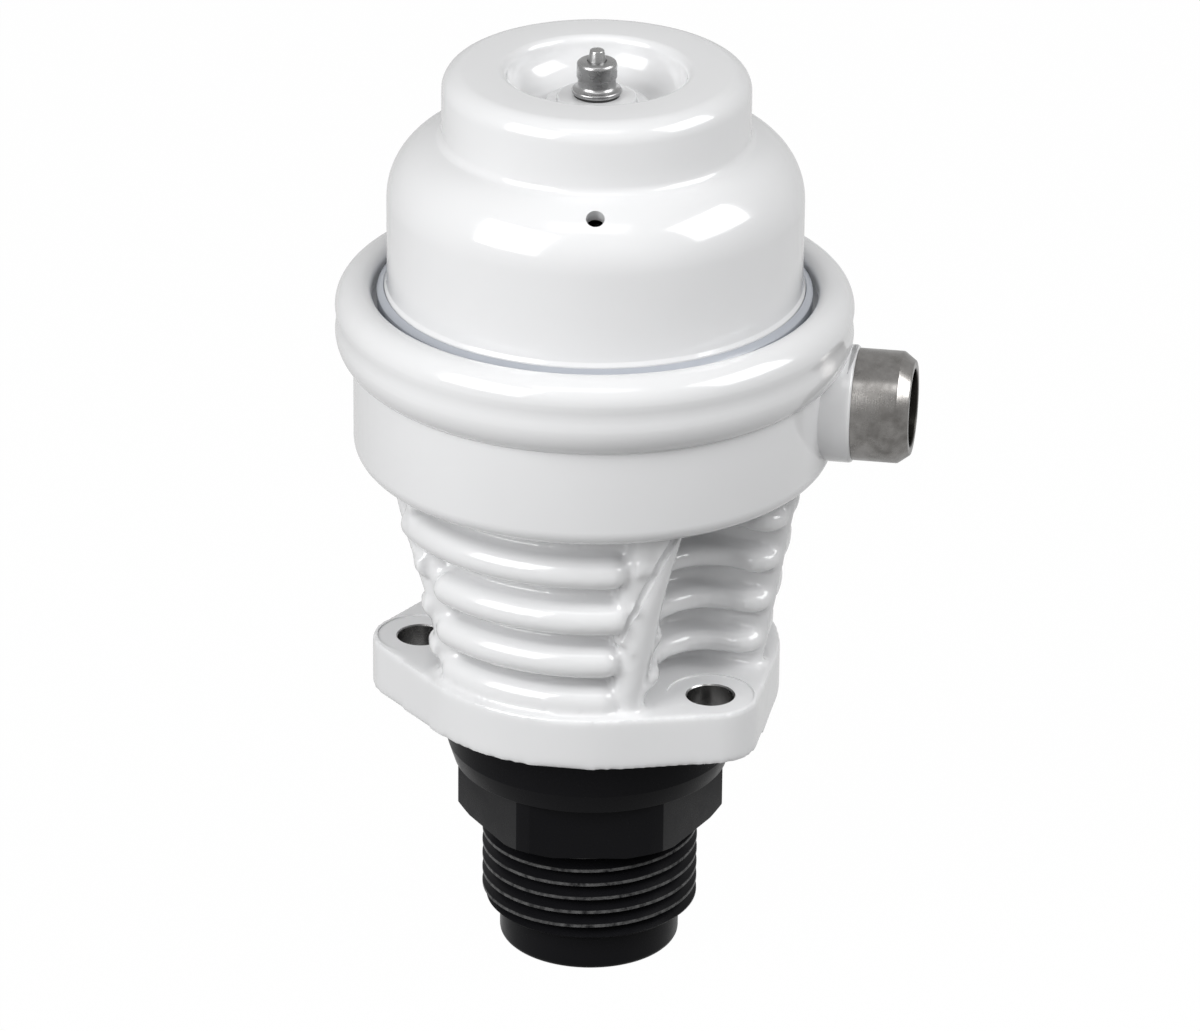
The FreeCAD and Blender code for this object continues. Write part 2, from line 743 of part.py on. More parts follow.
def make_cover():
    centre_r, centre_z = shoulder_centre_radius, shoulder_level
    outer_round = size("shoulder_round")
    inner_round = cover_inside_radius - centre_r
    beside = size("drum_radius") - centre_r
    crease = centre_z + root(outer_round * outer_round - beside * beside)
    inside_beside = drum_inside_radius - centre_r
    inner_crease = centre_z + root(inner_round * inner_round - inside_beside * inside_beside)
    top_round, mouth_round = size("cover_top_round"), size("recess_mouth_round")
    # The funnel's round stays below the mouth's.
    funnel_round = smaller(size("recess_funnel_round"),
                           size("recess_depth") - mouth_round - size("recess_wall_land"))
    funnel_top = recess_floor_level + funnel_round
    floor_radius = size("recess_radius") - funnel_round
    ledge_radius = floor_radius - size("recess_floor_width")
    flare_high = cover_foot_high + size("cover_foot_flare")
    body = turned("cover_turned", [
        (cover_inside_radius, diaphragm_high), (cover_flange_radius, diaphragm_high),
        (cover_flange_radius, cover_flange_high),
        (cover_foot_radius, cover_flange_high),
        (cover_foot_radius, cover_foot_high),
        (cover_radius, flare_high),
        (cover_radius, centre_z, centre_r, centre_z),
        (size("drum_radius"), crease),
        (size("drum_radius"), cover_top - top_round,
         size("drum_radius") - top_round, cover_top - top_round),
        (size("drum_radius") - top_round, cover_top),
        (size("recess_radius") + mouth_round, cover_top,
         size("recess_radius") + mouth_round, cover_top - mouth_round),
        (size("recess_radius"), cover_top - mouth_round),
        (size("recess_radius"), funnel_top, floor_radius, funnel_top),
        (floor_radius, recess_floor_level), (ledge_radius, recess_floor_level),
        (ledge_radius, ledge_level),
        (size("cover_boss_radius"), ledge_level),
        (size("cover_boss_radius"), cover_boss_level),
        (size("stub_shank_radius"), cover_boss_level),
        (size("stub_shank_radius"), ceiling_level),
        (drum_inside_radius, ceiling_level),
        (drum_inside_radius, inner_crease, centre_r, centre_z),
        (cover_inside_radius, centre_z)])
    round_rings(body, size("shoulder_crease_round"), (size("drum_radius"), crease))
    vent = cylinder("vent_drill", size("vent_radius"), outer_round, centre_z)
    turn = size("vent_turn")
    axis = FreeCAD.Vector(math.sin(math.radians(turn.number)),
                          -math.cos(math.radians(turn.number)), 0)
    vent.Placement.Rotation = FreeCAD.Rotation(axis, size("vent_rise").number - 90)
    drill_start = inner_round - margin * 3
    out = drill_start * cosine(size("vent_rise"))
    stand_at(vent, x=(centre_r + out) * cosine(turn), y=(centre_r + out) * sine(turn),
             z=centre_z + drill_start * sine(size("vent_rise")))
    return cut("cover", body, vent)


def make_retaining_ring():
    foot, outer = cover_foot_radius, ring_outer_radius
    step = cover_flange_high + size("ring_groove_height")
    ring = turned("retaining_ring_turned", [
        (foot, cover_flange_high), (ring_groove_radius, cover_flange_high),
        (ring_groove_radius, step), (outer, step),
        (outer, cover_foot_high - size("ring_slope")),
        (foot, cover_foot_high)])
    angle = size("ring_split_turn")
    half = size("ring_split") / 2
    start = foot - margin * 2
    split = box("ring_split_block", ring_groove_radius - foot + margin * 4, size("ring_split"),
                cover_foot_high - cover_flange_high + margin * 2,
                start * cosine(angle) + half * sine(angle),
                start * sine(angle) - half * cosine(angle), cover_flange_high - margin)
    turn_about_z(split, angle)
    return cut("retaining_ring", ring, split)


def make_adapter():
    neck, pocket = size("adapter_neck_radius"), size("adapter_seal_section")
    seal_in = size("adapter_seal_radius") - pocket
    seal_out = size("adapter_seal_radius") + pocket
    mouth = size("inlet_mouth_chamfer")
    edge = size("spigot_edge_round")
    root_radius = size("thread_radius") - size("thread_depth")
    core = turned("adapter_core", [
        (size("inlet_bore_radius"), spigot_low + mouth),
        (size("inlet_bore_radius") + mouth, spigot_low),
        (size("spigot_radius") - edge, spigot_low, size("spigot_radius") - edge,
         spigot_low + edge),
        (size("spigot_radius"), spigot_low + edge), (size("spigot_radius"), thread_low),
        (root_radius, thread_low),
        (size("thread_radius"), thread_low + size("thread_end_chamfer")),
        (size("thread_radius"), thread_top), (root_radius, thread_top),
        (root_radius, hexagon_top), (size("collar_low_radius"), hexagon_top),
        (size("collar_radius"), -size("collar_straight")), (size("collar_radius"), zero),
        (seal_out, zero), (seal_out, -pocket * 2), (seal_in, -pocket * 2), (seal_in, zero),
        (neck, zero), (neck, size("adapter_neck_height")),
        (size("seat_outer_radius"), size("adapter_neck_height")),
        (size("seat_outer_radius"), size("seat_low")),
        (size("inlet_bore_radius"), size("seat_low"))])
    half_gap = (size("thread_pitch") - size("thread_crest")) / 2
    first = thread_top - half_gap
    groove_sketch = outline(core, "thread_outline", "XZ_Plane", [
        (root_radius, first), (size("thread_radius") + 0.01, first - half_gap),
        (size("thread_radius") + 0.01, first + half_gap)])
    groove = core.newObject("PartDesign::Groove", "thread_groove")
    groove.Profile = groove_sketch
    groove.ReferenceAxis = (groove_sketch, ["V_Axis"])
    groove.Angle = 360
    repeated = core.newObject("PartDesign::LinearPattern", "thread_turns")
    repeated.Originals = [groove]
    repeated.Direction = (groove_sketch, ["V_Axis"])
    repeated.Reversed = True
    turns = int(size("thread_length").number / size("thread_pitch").number)
    repeated.Occurrences = turns
    bind(repeated, Length=size("thread_pitch") * (turns - 1))
    core.Tip = repeated

    block = prism("hexagon_block", size("hexagon_across_flats"), size("hexagon_height"),
                  thread_top)
    turn_about_z(block, size("hexagon_turn"))
    corner, chamfer = size("hexagon_corner_radius"), size("hexagon_chamfer")
    turned_corners = turned("hexagon_turning", [
        (size("inlet_bore_radius"), thread_top), (corner - chamfer * 1.73, thread_top),
        (corner, thread_top + chamfer), (corner, hexagon_top),
        (size("inlet_bore_radius"), hexagon_top)])
    return fuse("inlet_adapter", core, common("hexagon", block, turned_corners))


def make_adapter_seal():
    ring = new("Part::Torus", "adapter_seal")
    bind(ring, Radius1=size("adapter_seal_radius"), Radius2=size("adapter_seal_section"))
    stand_at(ring, z=-size("adapter_seal_section"))
    return ring


def make_seat_ring():
    bore, chamfer = size("seat_bore_radius"), size("seat_chamfer")
    outer, low, high = size("seat_outer_radius"), size("seat_low"), seat_high
    return turned("seat_ring", [
        (bore, low), (outer, low), (outer, high - chamfer), (outer - chamfer, high),
        (bore + chamfer / 2, high), (bore, high - chamfer / 2)])


def make_disc():
    # The disc that closes the seat, with a pocket for its soft ring.
    hole, hub = size("stem_thread_radius"), size("disc_hub_radius")
    disc = turned("valve_disc", [
        (hole, disc_low), (disc_seal_inner_radius, disc_low),
        (disc_seal_inner_radius, disc_low + size("disc_seal_thickness")),
        (disc_seal_outer_radius, disc_low + size("disc_seal_thickness")),
        (disc_seal_outer_radius, disc_low), (size("disc_radius"), disc_low),
        (size("disc_radius"), disc_high), (hub, disc_high), (hub, stem_shoulder),
        (hole, stem_shoulder)])
    round_rings(disc, size("disc_edge_round"), (size("disc_radius"), disc_high))
    return disc


def make_stem():
    thread, shank = size("stem_thread_radius"), size("stem_radius")
    seat = stem_high - size("indicator_seat_depth")
    return turned("valve_stem", [
        (zero, stem_low), (thread, stem_low), (thread, stem_shoulder),
        (shank, stem_shoulder), (shank, lower_plate_low), (thread, lower_plate_low),
        (thread, stem_high), (size("indicator_radius"), stem_high),
        (size("indicator_radius"), seat), (zero, seat)])


def make_indicator():
    low = stem_high - size("indicator_seat_depth")
    tip, high = size("indicator_tip_radius"), indicator_high
    pin = turned("indicator_pin", [
        (zero, low), (size("indicator_radius"), low),
        (size("indicator_radius"), high - size("indicator_tip_height")),
        (tip, high), (zero, high)])
    round_rings(pin, size("indicator_edge_round"), (tip, high))
    return pin


def make_diaphragm():
    hole, low = size("stem_thread_radius"), diaphragm_low
    thickness = size("diaphragm_thickness")
    middle, inside = convolution_radius, size("convolution_inner_round")
    outside, radius = convolution_outer_round, rim_inner_radius - size("diaphragm_gap")
    spread = root(outside * outside - thickness * thickness)
    high, crest = low + thickness, low + outside
    return turned("diaphragm", [
        (hole, low), (middle - inside, low, middle, low),
        (middle, low + inside, middle, low), (middle + inside, low),
        (radius, low), (radius, high),
        (middle + spread, high, middle, low), (middle, crest, middle, low),
        (middle - spread, high), (hole, high)])


def make_upper_plate():
    hole, radius = size("stem_thread_radius"), plate_radius
    guide = spring_guide_radius
    lip = guide - size("spring_guide_thickness")
    lip_high = upper_plate_high + size("plate_lip_height")
    plate = turned("upper_diaphragm_plate", [
        (hole, diaphragm_high), (radius, diaphragm_high), (radius, upper_plate_high),
        (guide, upper_plate_high), (guide, lip_high), (lip, lip_high),
        (lip, upper_plate_high), (hole, upper_plate_high)])
    round_rings(plate, size("plate_edge_round"), (radius, diaphragm_high))
    return plate


def make_lower_plate():
    hole, radius = size("stem_thread_radius"), plate_radius
    plate = turned("lower_diaphragm_plate", [
        (hole, lower_plate_low), (radius, lower_plate_low),
        (radius, diaphragm_low), (hole, diaphragm_low)])
    round_rings(plate, size("plate_edge_round"), (radius, diaphragm_low))
    return plate


def make_spring():
    # A plain coil: the round wire ends bear on the plate below and the seat above.
    coil, wire = size("spring_coil_radius"), size("spring_wire_radius")
    end_run = wire + size("spring_end_clearance")
    length = spring_seat_low - upper_plate_high - end_run * 2
    path_low = upper_plate_high + end_run
    path = new("Part::Helix", "spring_path")
    bind(path, Radius=coil, Height=length, Pitch=length / size("spring_turns"),
         SegmentLength=size("spring_turns_per_span"))
    stand_at(path, z=path_low)
    section = new("Part::Circle", "spring_section")
    bind(section, Radius=wire)
    stand_at(section, x=coil, z=path_low)
    section.Placement.Rotation = FreeCAD.Rotation(FreeCAD.Vector(1, 0, 0), 90)
    doc.recompute()
    sweep = new("Part::Sweep", "main_spring")
    sweep.Sections = [section]
    sweep.Spine = (path, [f"Edge{i + 1}" for i in range(len(path.Shape.Edges))])
    sweep.Solid, sweep.Frenet = True, True
    return sweep


def make_spring_seat():
    guide = spring_guide_radius
    lip = guide - size("spring_guide_thickness")
    lip_low = spring_seat_low - size("plate_lip_height")
    return turned("upper_spring_seat", [
        (size("spring_seat_hole_radius"), spring_seat_low), (lip, spring_seat_low),
        (lip, lip_low), (guide, lip_low), (guide, spring_seat_low),
        (size("spring_seat_radius"), spring_seat_low), (size("spring_seat_radius"), shim_low),
        (size("spring_seat_hole_radius"), shim_low)])


def make_guide_stub():
    bore = size("indicator_radius") + size("running_clearance")
    radius, disc_top = size("stub_radius"), stub_high - size("stub_height")
    waist = radius - size("stub_waist_depth")
    waist_low = disc_top + size("stub_waist_level") - size("stub_waist_height")
    waist_high = waist_low + size("stub_waist_height")
    stub = turned("guide_stub", [
        (bore, stub_shank_low), (size("stub_shank_radius"), stub_shank_low),
        (size("stub_shank_radius"), stub_low), (size("stub_disc_radius"), stub_low),
        (size("stub_disc_radius"), disc_top), (waist, disc_top), (waist, waist_high),
        (radius, waist_high + size("stub_waist_depth")), (radius, stub_high), (bore, stub_high)])
    round_rings(stub, size("stub_edge_round"), (radius, stub_high))
    return stub


parts = [
    make_housing(),
    make_outlet_tube(),
    make_cover(),
    make_retaining_ring(),
    make_adapter(),
    make_adapter_seal(),
    make_seat_ring(),
    make_disc(),
    washer("disc_seal", disc_seal_inner_radius, disc_seal_outer_radius,
           disc_low, disc_low + size("disc_seal_thickness")),
    hexagon_nut("disc_nut", disc_low - size("nut_height"), size("stem_thread_radius")),
    make_stem(),
    washer("stem_guide_bush", stem_bore_radius, size("bush_radius"), bush_low, bush_high),
    washer("stem_seal", stem_bore_radius, size("stem_seal_radius"), bush_high, stem_seal_high),
    washer("seal_retainer", size("stem_radius") + size("retainer_clearance"),
           size("seal_retainer_radius"), stem_seal_high, retainer_high),
    make_lower_plate(),
    make_diaphragm(),
    make_upper_plate(),
    washer("plate_washer", size("stem_thread_radius"), size("washer_radius"),
           upper_plate_high, stem_nut_low),
    hexagon_nut("stem_nut", stem_nut_low, size("stem_thread_radius")),
    make_indicator(),
    make_spring(),
    make_spring_seat(),
    washer("preload_shim", size("shim_inner_radius"), size("spring_seat_radius"),
           shim_low, ceiling_level),
    make_guide_stub(),
    washer("stub_seal", size("stub_shank_radius"), size("stub_seal_radius"),
           cover_boss_level, stub_low),
    hexagon_nut("guide_nut", ceiling_level - size("nut_height"), size("stub_shank_radius")),
]

doc.recompute()
for item in doc.Objects:
    if {"Invalid", "Error"} & set(item.State):
        raise RuntimeError(f"{item.Label} did not recompute: {item.State}")
for part in parts:
    if part.Shape.isNull() or not part.Shape.isValid() or not part.Shape.Solids:
        raise RuntimeError(f"{part.Label} has no valid solid")

os.makedirs("parts", exist_ok=True)
for part in parts:
    part.Shape.exportStep(f"parts/{part.Label}.step")
    print(part.Label, len(part.Shape.Solids), round(part.Shape.Volume, 1))
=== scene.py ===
import json
import math

import bpy
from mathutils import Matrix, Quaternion, Vector


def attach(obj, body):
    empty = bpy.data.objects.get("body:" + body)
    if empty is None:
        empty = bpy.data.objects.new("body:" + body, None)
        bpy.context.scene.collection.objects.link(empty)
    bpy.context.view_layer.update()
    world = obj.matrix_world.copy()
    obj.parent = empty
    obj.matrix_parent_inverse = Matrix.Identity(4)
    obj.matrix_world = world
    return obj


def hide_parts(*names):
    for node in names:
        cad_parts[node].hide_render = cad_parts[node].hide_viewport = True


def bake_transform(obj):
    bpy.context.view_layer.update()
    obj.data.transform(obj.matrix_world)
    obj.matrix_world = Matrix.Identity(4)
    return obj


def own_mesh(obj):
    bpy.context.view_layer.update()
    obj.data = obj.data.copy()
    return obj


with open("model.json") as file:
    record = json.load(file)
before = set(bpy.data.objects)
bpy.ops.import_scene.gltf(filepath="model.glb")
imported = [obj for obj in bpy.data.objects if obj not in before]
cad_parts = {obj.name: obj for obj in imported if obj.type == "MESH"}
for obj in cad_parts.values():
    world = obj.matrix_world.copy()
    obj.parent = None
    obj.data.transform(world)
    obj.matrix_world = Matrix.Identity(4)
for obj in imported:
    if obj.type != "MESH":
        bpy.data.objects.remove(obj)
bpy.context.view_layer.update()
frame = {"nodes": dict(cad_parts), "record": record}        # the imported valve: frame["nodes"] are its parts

mm = 0.001
mergeGap = 0.004 * mm    # vertices closer than this are one
past = 1.0    # millimetres that a cutter stands out of what it cuts
seam = 0.01    # millimetres between the last point of a turned profile and its first


# small helpers

def setMode(name):
    bpy.ops.object.mode_set(mode=name)


def deselect():
    if bpy.context.object and bpy.context.object.mode != "OBJECT":
        setMode("OBJECT")
    bpy.ops.object.select_all(action="DESELECT")


def pick(piece):
    deselect()
    piece.select_set(True)
    bpy.context.view_layer.objects.active = piece


def settle(piece):
    # leaves the piece's place in its mesh
    pick(piece)
    bpy.ops.object.transform_apply(location=True, rotation=True, scale=True)


def added(name):
    # the primitive that was just added, named and settled
    piece = bpy.context.object
    piece.name = name
    settle(piece)
    return piece


def turnAndMove(piece, turn, spot=(0, 0, 0)):
    # turns a piece by degrees about X, Y and Z, then moves it by millimetres
    piece.rotation_euler = [math.radians(angle) for angle in turn]
    piece.location = [value * mm for value in spot]
    settle(piece)
    return piece


def modify(piece, kind, **settings):
    # adds a modifier and applies it
    pick(piece)
    modifier = piece.modifiers.new(kind.title(), kind)
    for name, value in settings.items():
        setattr(modifier, name, value)
    bpy.ops.object.modifier_apply(modifier=modifier.name)


def remove(*pieces):
    for piece in pieces:
        bpy.data.objects.remove(piece, do_unlink=True)


def combine(piece, tool, operation="DIFFERENCE"):
    # both meshes are closed, which this solver needs
    modify(piece, "BOOLEAN", operation=operation, object=tool, solver="MANIFOLD")
    remove(tool)


def join(pieces):
    pick(pieces[0])
    for piece in pieces:
        piece.select_set(True)
    bpy.ops.object.join()
    return pieces[0]


def smooth(piece, angle):
    pick(piece)
    bpy.ops.object.shade_smooth_by_angle(angle=math.radians(angle))


def polar(radius, angle):
    return (radius * math.cos(math.radians(angle)), radius * math.sin(math.radians(angle)))


def arcPoints(centre, radius, start, end, steps):
    # points on an arc, angles in degrees
    points = []
    for step in range(steps + 1):
        x, y = polar(radius, start + (end - start) * step / steps)
        points.append((centre[0] + x, centre[1] + y))
    return points


def rounded(corners, steps=6):
    # a line through corners (x, y, round), each round drawn as an arc
    points = []
    for index, corner in enumerate(corners):
        here = Vector(corner[:2])
        radius = corner[2] if len(corner) > 2 else 0
        if radius == 0 or index in (0, len(corners) - 1):
            points.append(tuple(here))
            continue
        before = (Vector(corners[index - 1][:2]) - here).normalized()
        after = (Vector(corners[index + 1][:2]) - here).normalized()
        half = before.angle(after) / 2
        reach = radius / math.tan(half)
        centre = here + (before + after).normalized() * radius / math.sin(half)
        start, end = here + before * reach - centre, here + after * reach - centre
        first = math.degrees(math.atan2(start.y, start.x))
        sweep = (math.degrees(math.atan2(end.y, end.x)) - first + 180) % 360 - 180
        points += arcPoints(centre, radius, first, first + sweep, steps)
    return points


def chain(name, points, upright=True):
    # a line of vertices, left in edit mode; an upright one lies in the XZ plane
    deselect()
    spots = [((x * mm, 0, y * mm) if upright else (x * mm, y * mm, 0)) for x, y in points]
    bpy.ops.mesh.primitive_plane_add(size=mm, location=spots[0])
    piece = added(name)
    setMode("EDIT")
    bpy.ops.mesh.select_all(action="SELECT")
    bpy.ops.mesh.merge(type="CENTER")
    for here, there in zip(spots, spots[1:]):
        step = [b - a for a, b in zip(here, there)]
        bpy.ops.mesh.extrude_vertices_move(TRANSFORM_OT_translate={"value": step})
    return piece


def weld():
    # in edit mode: selects everything and merges doubles
    bpy.ops.mesh.select_all(action="SELECT")
    bpy.ops.mesh.remove_doubles(threshold=mergeGap)


def faceOutwards():
    # in edit mode: turns every face outwards and leaves the mode
    bpy.ops.mesh.select_all(action="SELECT")
    bpy.ops.mesh.normals_make_consistent(inside=False)
    setMode("OBJECT")


def lathe(name, points, steps=192, closed=True, turn=360.0, start=0.0):
    # spins a profile of (radius, level) about the valve's axis; a part turn keeps end faces
    closed = closed and max(points[0][0], points[-1][0]) > 0
    piece = chain(name, points + [points[0]] if closed else points)
    bpy.ops.mesh.select_all(action="SELECT")
    if turn < 360:
        weld()
        bpy.ops.mesh.edge_face_add()
        bpy.ops.transform.rotate(value=-math.radians(start + turn), orient_axis="Z",
                                 center_override=(0, 0, 0))
    bpy.ops.mesh.spin(steps=steps, angle=math.radians(turn), center=(0, 0, 0), axis=(0, 0, 1))
    weld()
    faceOutwards()
    return piece


def slab(name, points, low, high):
    # a flat outline pulled up to a slab
    piece = chain(name, points + [points[0]], upright=False)
    weld()
    bpy.ops.transform.translate(value=(0, 0, low * mm))
    bpy.ops.mesh.edge_face_add()
    bpy.ops.mesh.extrude_region_move(
        TRANSFORM_OT_translate={"value": (0, 0, (high - low) * mm)})
    faceOutwards()
    return piece


def rod(name, radius, low, high, x=0.0, y=0.0, steps=64):
    deselect()
    bpy.ops.mesh.primitive_cylinder_add(
        vertices=steps, radius=radius * mm, depth=(high - low) * mm,
        location=(x * mm, y * mm, (low + high) / 2 * mm))
    return added(name)


# material nodes

class Wire:
    # a socket that can be reckoned with; arithmetic on it adds Math nodes
    def __init__(self, nodes, socket):
        self.nodes = nodes
        self.socket = socket

    def reckon(self, operation, *values):
        return self.nodes.add("ShaderNodeMath", {"operation": operation}, *values)

    def __add__(self, other):
        return self.reckon("ADD", self, other)

    def __sub__(self, other):
        return self.reckon("SUBTRACT", self, other)

    def __rsub__(self, other):
        return self.reckon("SUBTRACT", other, self)

    def __mul__(self, other):
        return self.reckon("MULTIPLY", self, other)

    def __lt__(self, other):
        return self.reckon("LESS_THAN", self, other)

    def __gt__(self, other):
        return self.reckon("GREATER_THAN", self, other)

    def clip(self):
        return self.nodes.add("ShaderNodeClamp", {}, self)

    __radd__ = __add__
    __rmul__ = __mul__


class NodeSet:
    # the nodes of one material or of the world
    def __init__(self, tree):
        self.tree = tree

    def add(self, kind, settings, *values, output=0, sockets=None, **named):
        # a node with its settings, then the values or links of its sockets
        node = self.tree.nodes.new(kind)
        for name, value in settings.items():
            setattr(node, name, value)
        entries = dict(enumerate(values)) | (sockets or {})
        entries |= {name.replace("_", " "): value for name, value in named.items()}
        for key, value in entries.items():
            if isinstance(value, Wire):
                self.tree.links.new(value.socket, node.inputs[key])
            else:
                node.inputs[key].default_value = value
        return Wire(self, node.outputs[output])

    def show(self, shader):
        # sends a shader to the tree's output
        ends = [node for node in self.tree.nodes if node.type.startswith("OUTPUT")]
        self.tree.links.new(shader.socket, ends[0].inputs["Surface"])


class Finish(NodeSet):
    # one material and its Principled shader
    def __init__(self, name, **constants):
        self.material = bpy.data.materials.new(name)
        self.material.use_nodes = True
        super().__init__(self.material.node_tree)
        self.shader = self.tree.nodes["Principled BSDF"]
        for socket, value in constants.items():
            self.shader.inputs[socket.replace("_", " ")].default_value = value
        self.place = self.add("ShaderNodeTexCoord", {}, output="Object")

    def axis(self, letter):
        return self.add("ShaderNodeSeparateXYZ", {}, self.place, output=letter)

    def away(self, across, up):
        # distance from an axis, out of the two coordinates across it
        return self.add("ShaderNodeMath", {"operation": "SQRT"}, across * across + up * up)

    def noise(self, scale, detail=3.0, roughness=0.55, stretch=None):
        place = self.place
        if stretch:
            place = self.add("ShaderNodeMapping", {}, place, Scale=stretch)
        return self.add("ShaderNodeTexNoise", {}, Vector=place, Scale=scale, Detail=detail,
                        Roughness=roughness)

    def spread(self, value, low, high, newLow=0.0, newHigh=1.0):
        return self.add("ShaderNodeMapRange", {}, value, low, high, newLow, newHigh)

    def blendColour(self, factor, first, second):
        # the colour sockets of a Mix node are its seventh and eighth
        return self.add("ShaderNodeMix", {"data_type": "RGBA"}, factor, output=2,
                        sockets={6: first, 7: second})

    def feed(self, socket, value):
        self.tree.links.new(value.socket, self.shader.inputs[socket])

    def bump(self, height, distance, strength=1.0):
        self.feed("Normal", self.add("ShaderNodeBump", {}, Height=height, Distance=distance,
                                     Strength=strength))


def whitePaint():
    # gloss paint under a clear coat, with a faint cloud and orange peel
    paint = Finish("whitePaint", IOR=1.5, Coat_Weight=0.6, Coat_Roughness=0.04)
    paint.feed("Base Color", paint.blendColour(
        paint.noise(45, 2), (0.70, 0.703, 0.71, 1), (0.735, 0.738, 0.745, 1)))
    paint.feed("Roughness", paint.spread(paint.noise(160, 3), 0.3, 0.7, 0.12, 0.2))
    paint.bump(paint.noise(900, 2) * 0.5 + paint.noise(220, 2), 0.00002, 0.35)
    return paint.material


def greyRing():
    paint = Finish("greyRing", Roughness=0.25, IOR=1.5, Coat_Weight=0.4)
    tone = paint.noise(60, 2)
    paint.feed("Base Color", paint.blendColour(tone, (0.33, 0.35, 0.39, 1), (0.40, 0.42, 0.46, 1)))
    paint.bump(paint.noise(500, 2), 0.00002, 0.3)
    return paint.material


def bareSteel(name, turningAxis, lineScale, dark, light, mottle=0.5, bore=None):
    # turned steel: fine lines round the turning axis, a mottled film, and painted shade that colours the bore
    # near black
    steel = Finish(name, Metallic=1.0)
    stretch = {"X": (lineScale, 18, 18), "Z": (18, 18, lineScale)}[turningAxis]
    lines = steel.noise(1.0, 4, 0.6, stretch=stretch)
    film = steel.noise(420, 5, 0.7)
    patches = steel.noise(110, 3, 0.6)
    tone = steel.spread((film * mottle + patches * (1 - mottle)).clip(), 0.35, 0.65)
    colour = steel.blendColour(tone, dark, light)
    # painted shade: inside the bore's radius the colour goes near black, standing in for the shadow down the
    # tube
    if bore:
        away = steel.away(steel.axis("Y"), steel.axis("Z") - bore["level"] * mm)
        inside = steel.spread(away, bore["radius"] * mm, (bore["radius"] + 0.25) * mm)
        colour = steel.blendColour(inside, (0.035, 0.033, 0.03, 1), colour)
    steel.feed("Base Color", colour)
    steel.feed("Roughness", steel.spread(tone + lines * 0.4, 0.2, 1.0, 0.34, 0.2))
    steel.bump(lines + film * 0.3, 0.00003, 0.4)
    return steel.material


def blackAdapter(threadRadius):
    # black coating, with a painted highlight: the thread crests coloured brighter, broken up by noise
    black = Finish("blackAdapter", IOR=1.5, Specular_IOR_Level=0.06)
    away = black.away(black.axis("X"), black.axis("Y"))
    # painted highlight: a thin band at the crest radius goes grey where the crests would catch the light
    crest = black.spread(away, (threadRadius - 0.16) * mm, threadRadius * mm)
    highlightNoise = black.spread(black.noise(700, 4, 0.7), 0.3, 0.6)
    crest = crest * (away < (threadRadius + 0.1) * mm) * highlightNoise
    black.feed("Base Color", black.blendColour(
        crest, (0.006, 0.006, 0.007, 1), (0.12, 0.12, 0.12, 1)))
    black.feed("Roughness", black.spread(black.noise(300, 3), 0.3, 0.7, 0.24, 0.34))
    black.bump(black.noise(1.0, 3, stretch=(30, 30, 5200)), 0.00002, 0.3)
    return black.material


def softRubber(name, low, high):
    rubber = Finish(name, Roughness=0.7)
    grain = rubber.noise(1500, 3)
    rubber.feed("Base Color", rubber.blendColour(grain, low, high))
    rubber.bump(grain, 0.00005, 0.4)
    return rubber.material


finishes = {
    "white_paint": whitePaint(),
    "grey_ring": greyRing(),
    # the outlet tube's steel, with painted shade in its bore
    "machined_steel": bareSteel("machinedSteel", "X", 5200, (0.17, 0.163, 0.155, 1),
                                (0.34, 0.33, 0.32, 1), bore={"level": 63.9, "radius": 7.5}),
    "turned_steel": bareSteel("turnedSteel", "Z", 6500, (0.30, 0.30, 0.30, 1),
                              (0.46, 0.46, 0.46, 1), mottle=0.3),
    "plated_steel": bareSteel("platedSteel", "Z", 900, (0.55, 0.55, 0.52, 1),
                              (0.66, 0.66, 0.62, 1)),
    "spring_steel": bareSteel("springSteel", "Z", 300, (0.18, 0.18, 0.19, 1),
                              (0.30, 0.30, 0.31, 1)),
    "bronze": bareSteel("bronze", "Z", 900, (0.42, 0.28, 0.13, 1), (0.55, 0.38, 0.2, 1)),
    "black_adapter": blackAdapter(threadRadius=21.0),
    "black_rubber": softRubber("blackRubber", (0.010, 0.010, 0.010, 1), (0.03, 0.03, 0.03, 1)),
    "diaphragm_rubber": softRubber("diaphragmRubber", (0.03, 0.03, 0.032, 1),
                                   (0.055, 0.055, 0.06, 1)),
}
slotOfNode = {row["node"]: row["material_slot"] for row in frame["record"]["subparts"]}
for name, node in frame["nodes"].items():
    node.data.materials.clear()
    node.data.materials.append(finishes[slotOfNode[name]])
    smooth(node, 30)
print("finishes made")


def place(piece, node, body="valve_body", angle=32):
    # shades a piece and gives it its node's finish and body; without a body it is left unattached
    slotName = slotOfNode[node]
    smooth(piece, angle)
    if not any(piece.data.materials):
        piece.data.materials.clear()  # booleans leave empty slots
        piece.data.materials.append(finishes[slotName])
    if body:
        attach(piece, body)
    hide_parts(node)


# bowl and rim of the casting

bowl = {
    "radius": 45.7, "low": 50.4, "cornerRound": 3.6, "wallInner": 36.0, "floor": 55.5,
    "rimLow": 70.3, "bulgeLow": 76.0, "bulgeHigh": 80.7, "rim": 49.1, "waist": 0.3,
    "rimTop": 85.3, "lipRadius": 42.1, "lipRound": 2.2, "ledge": 75.0,
    "bulgeRound": 7.0, "passage": 15.5,
}
tube = {
    "level": 63.9, "radius": 10.65, "bore": 7.45, "start": 38.0, "end": 61.1,
    "chamfer": 2.3, "chamferRadial": 1.7, "bossRadius": 11.2, "bossEnd": 50.3,
    "bossEdge": 0.7, "bossFillet": 1.2, "bossStart": 42.0, "bossBand": 1.1, "bossSink": 0.03,
    "shankStep": 0.35, "drill": (20.0, 70.0),
}


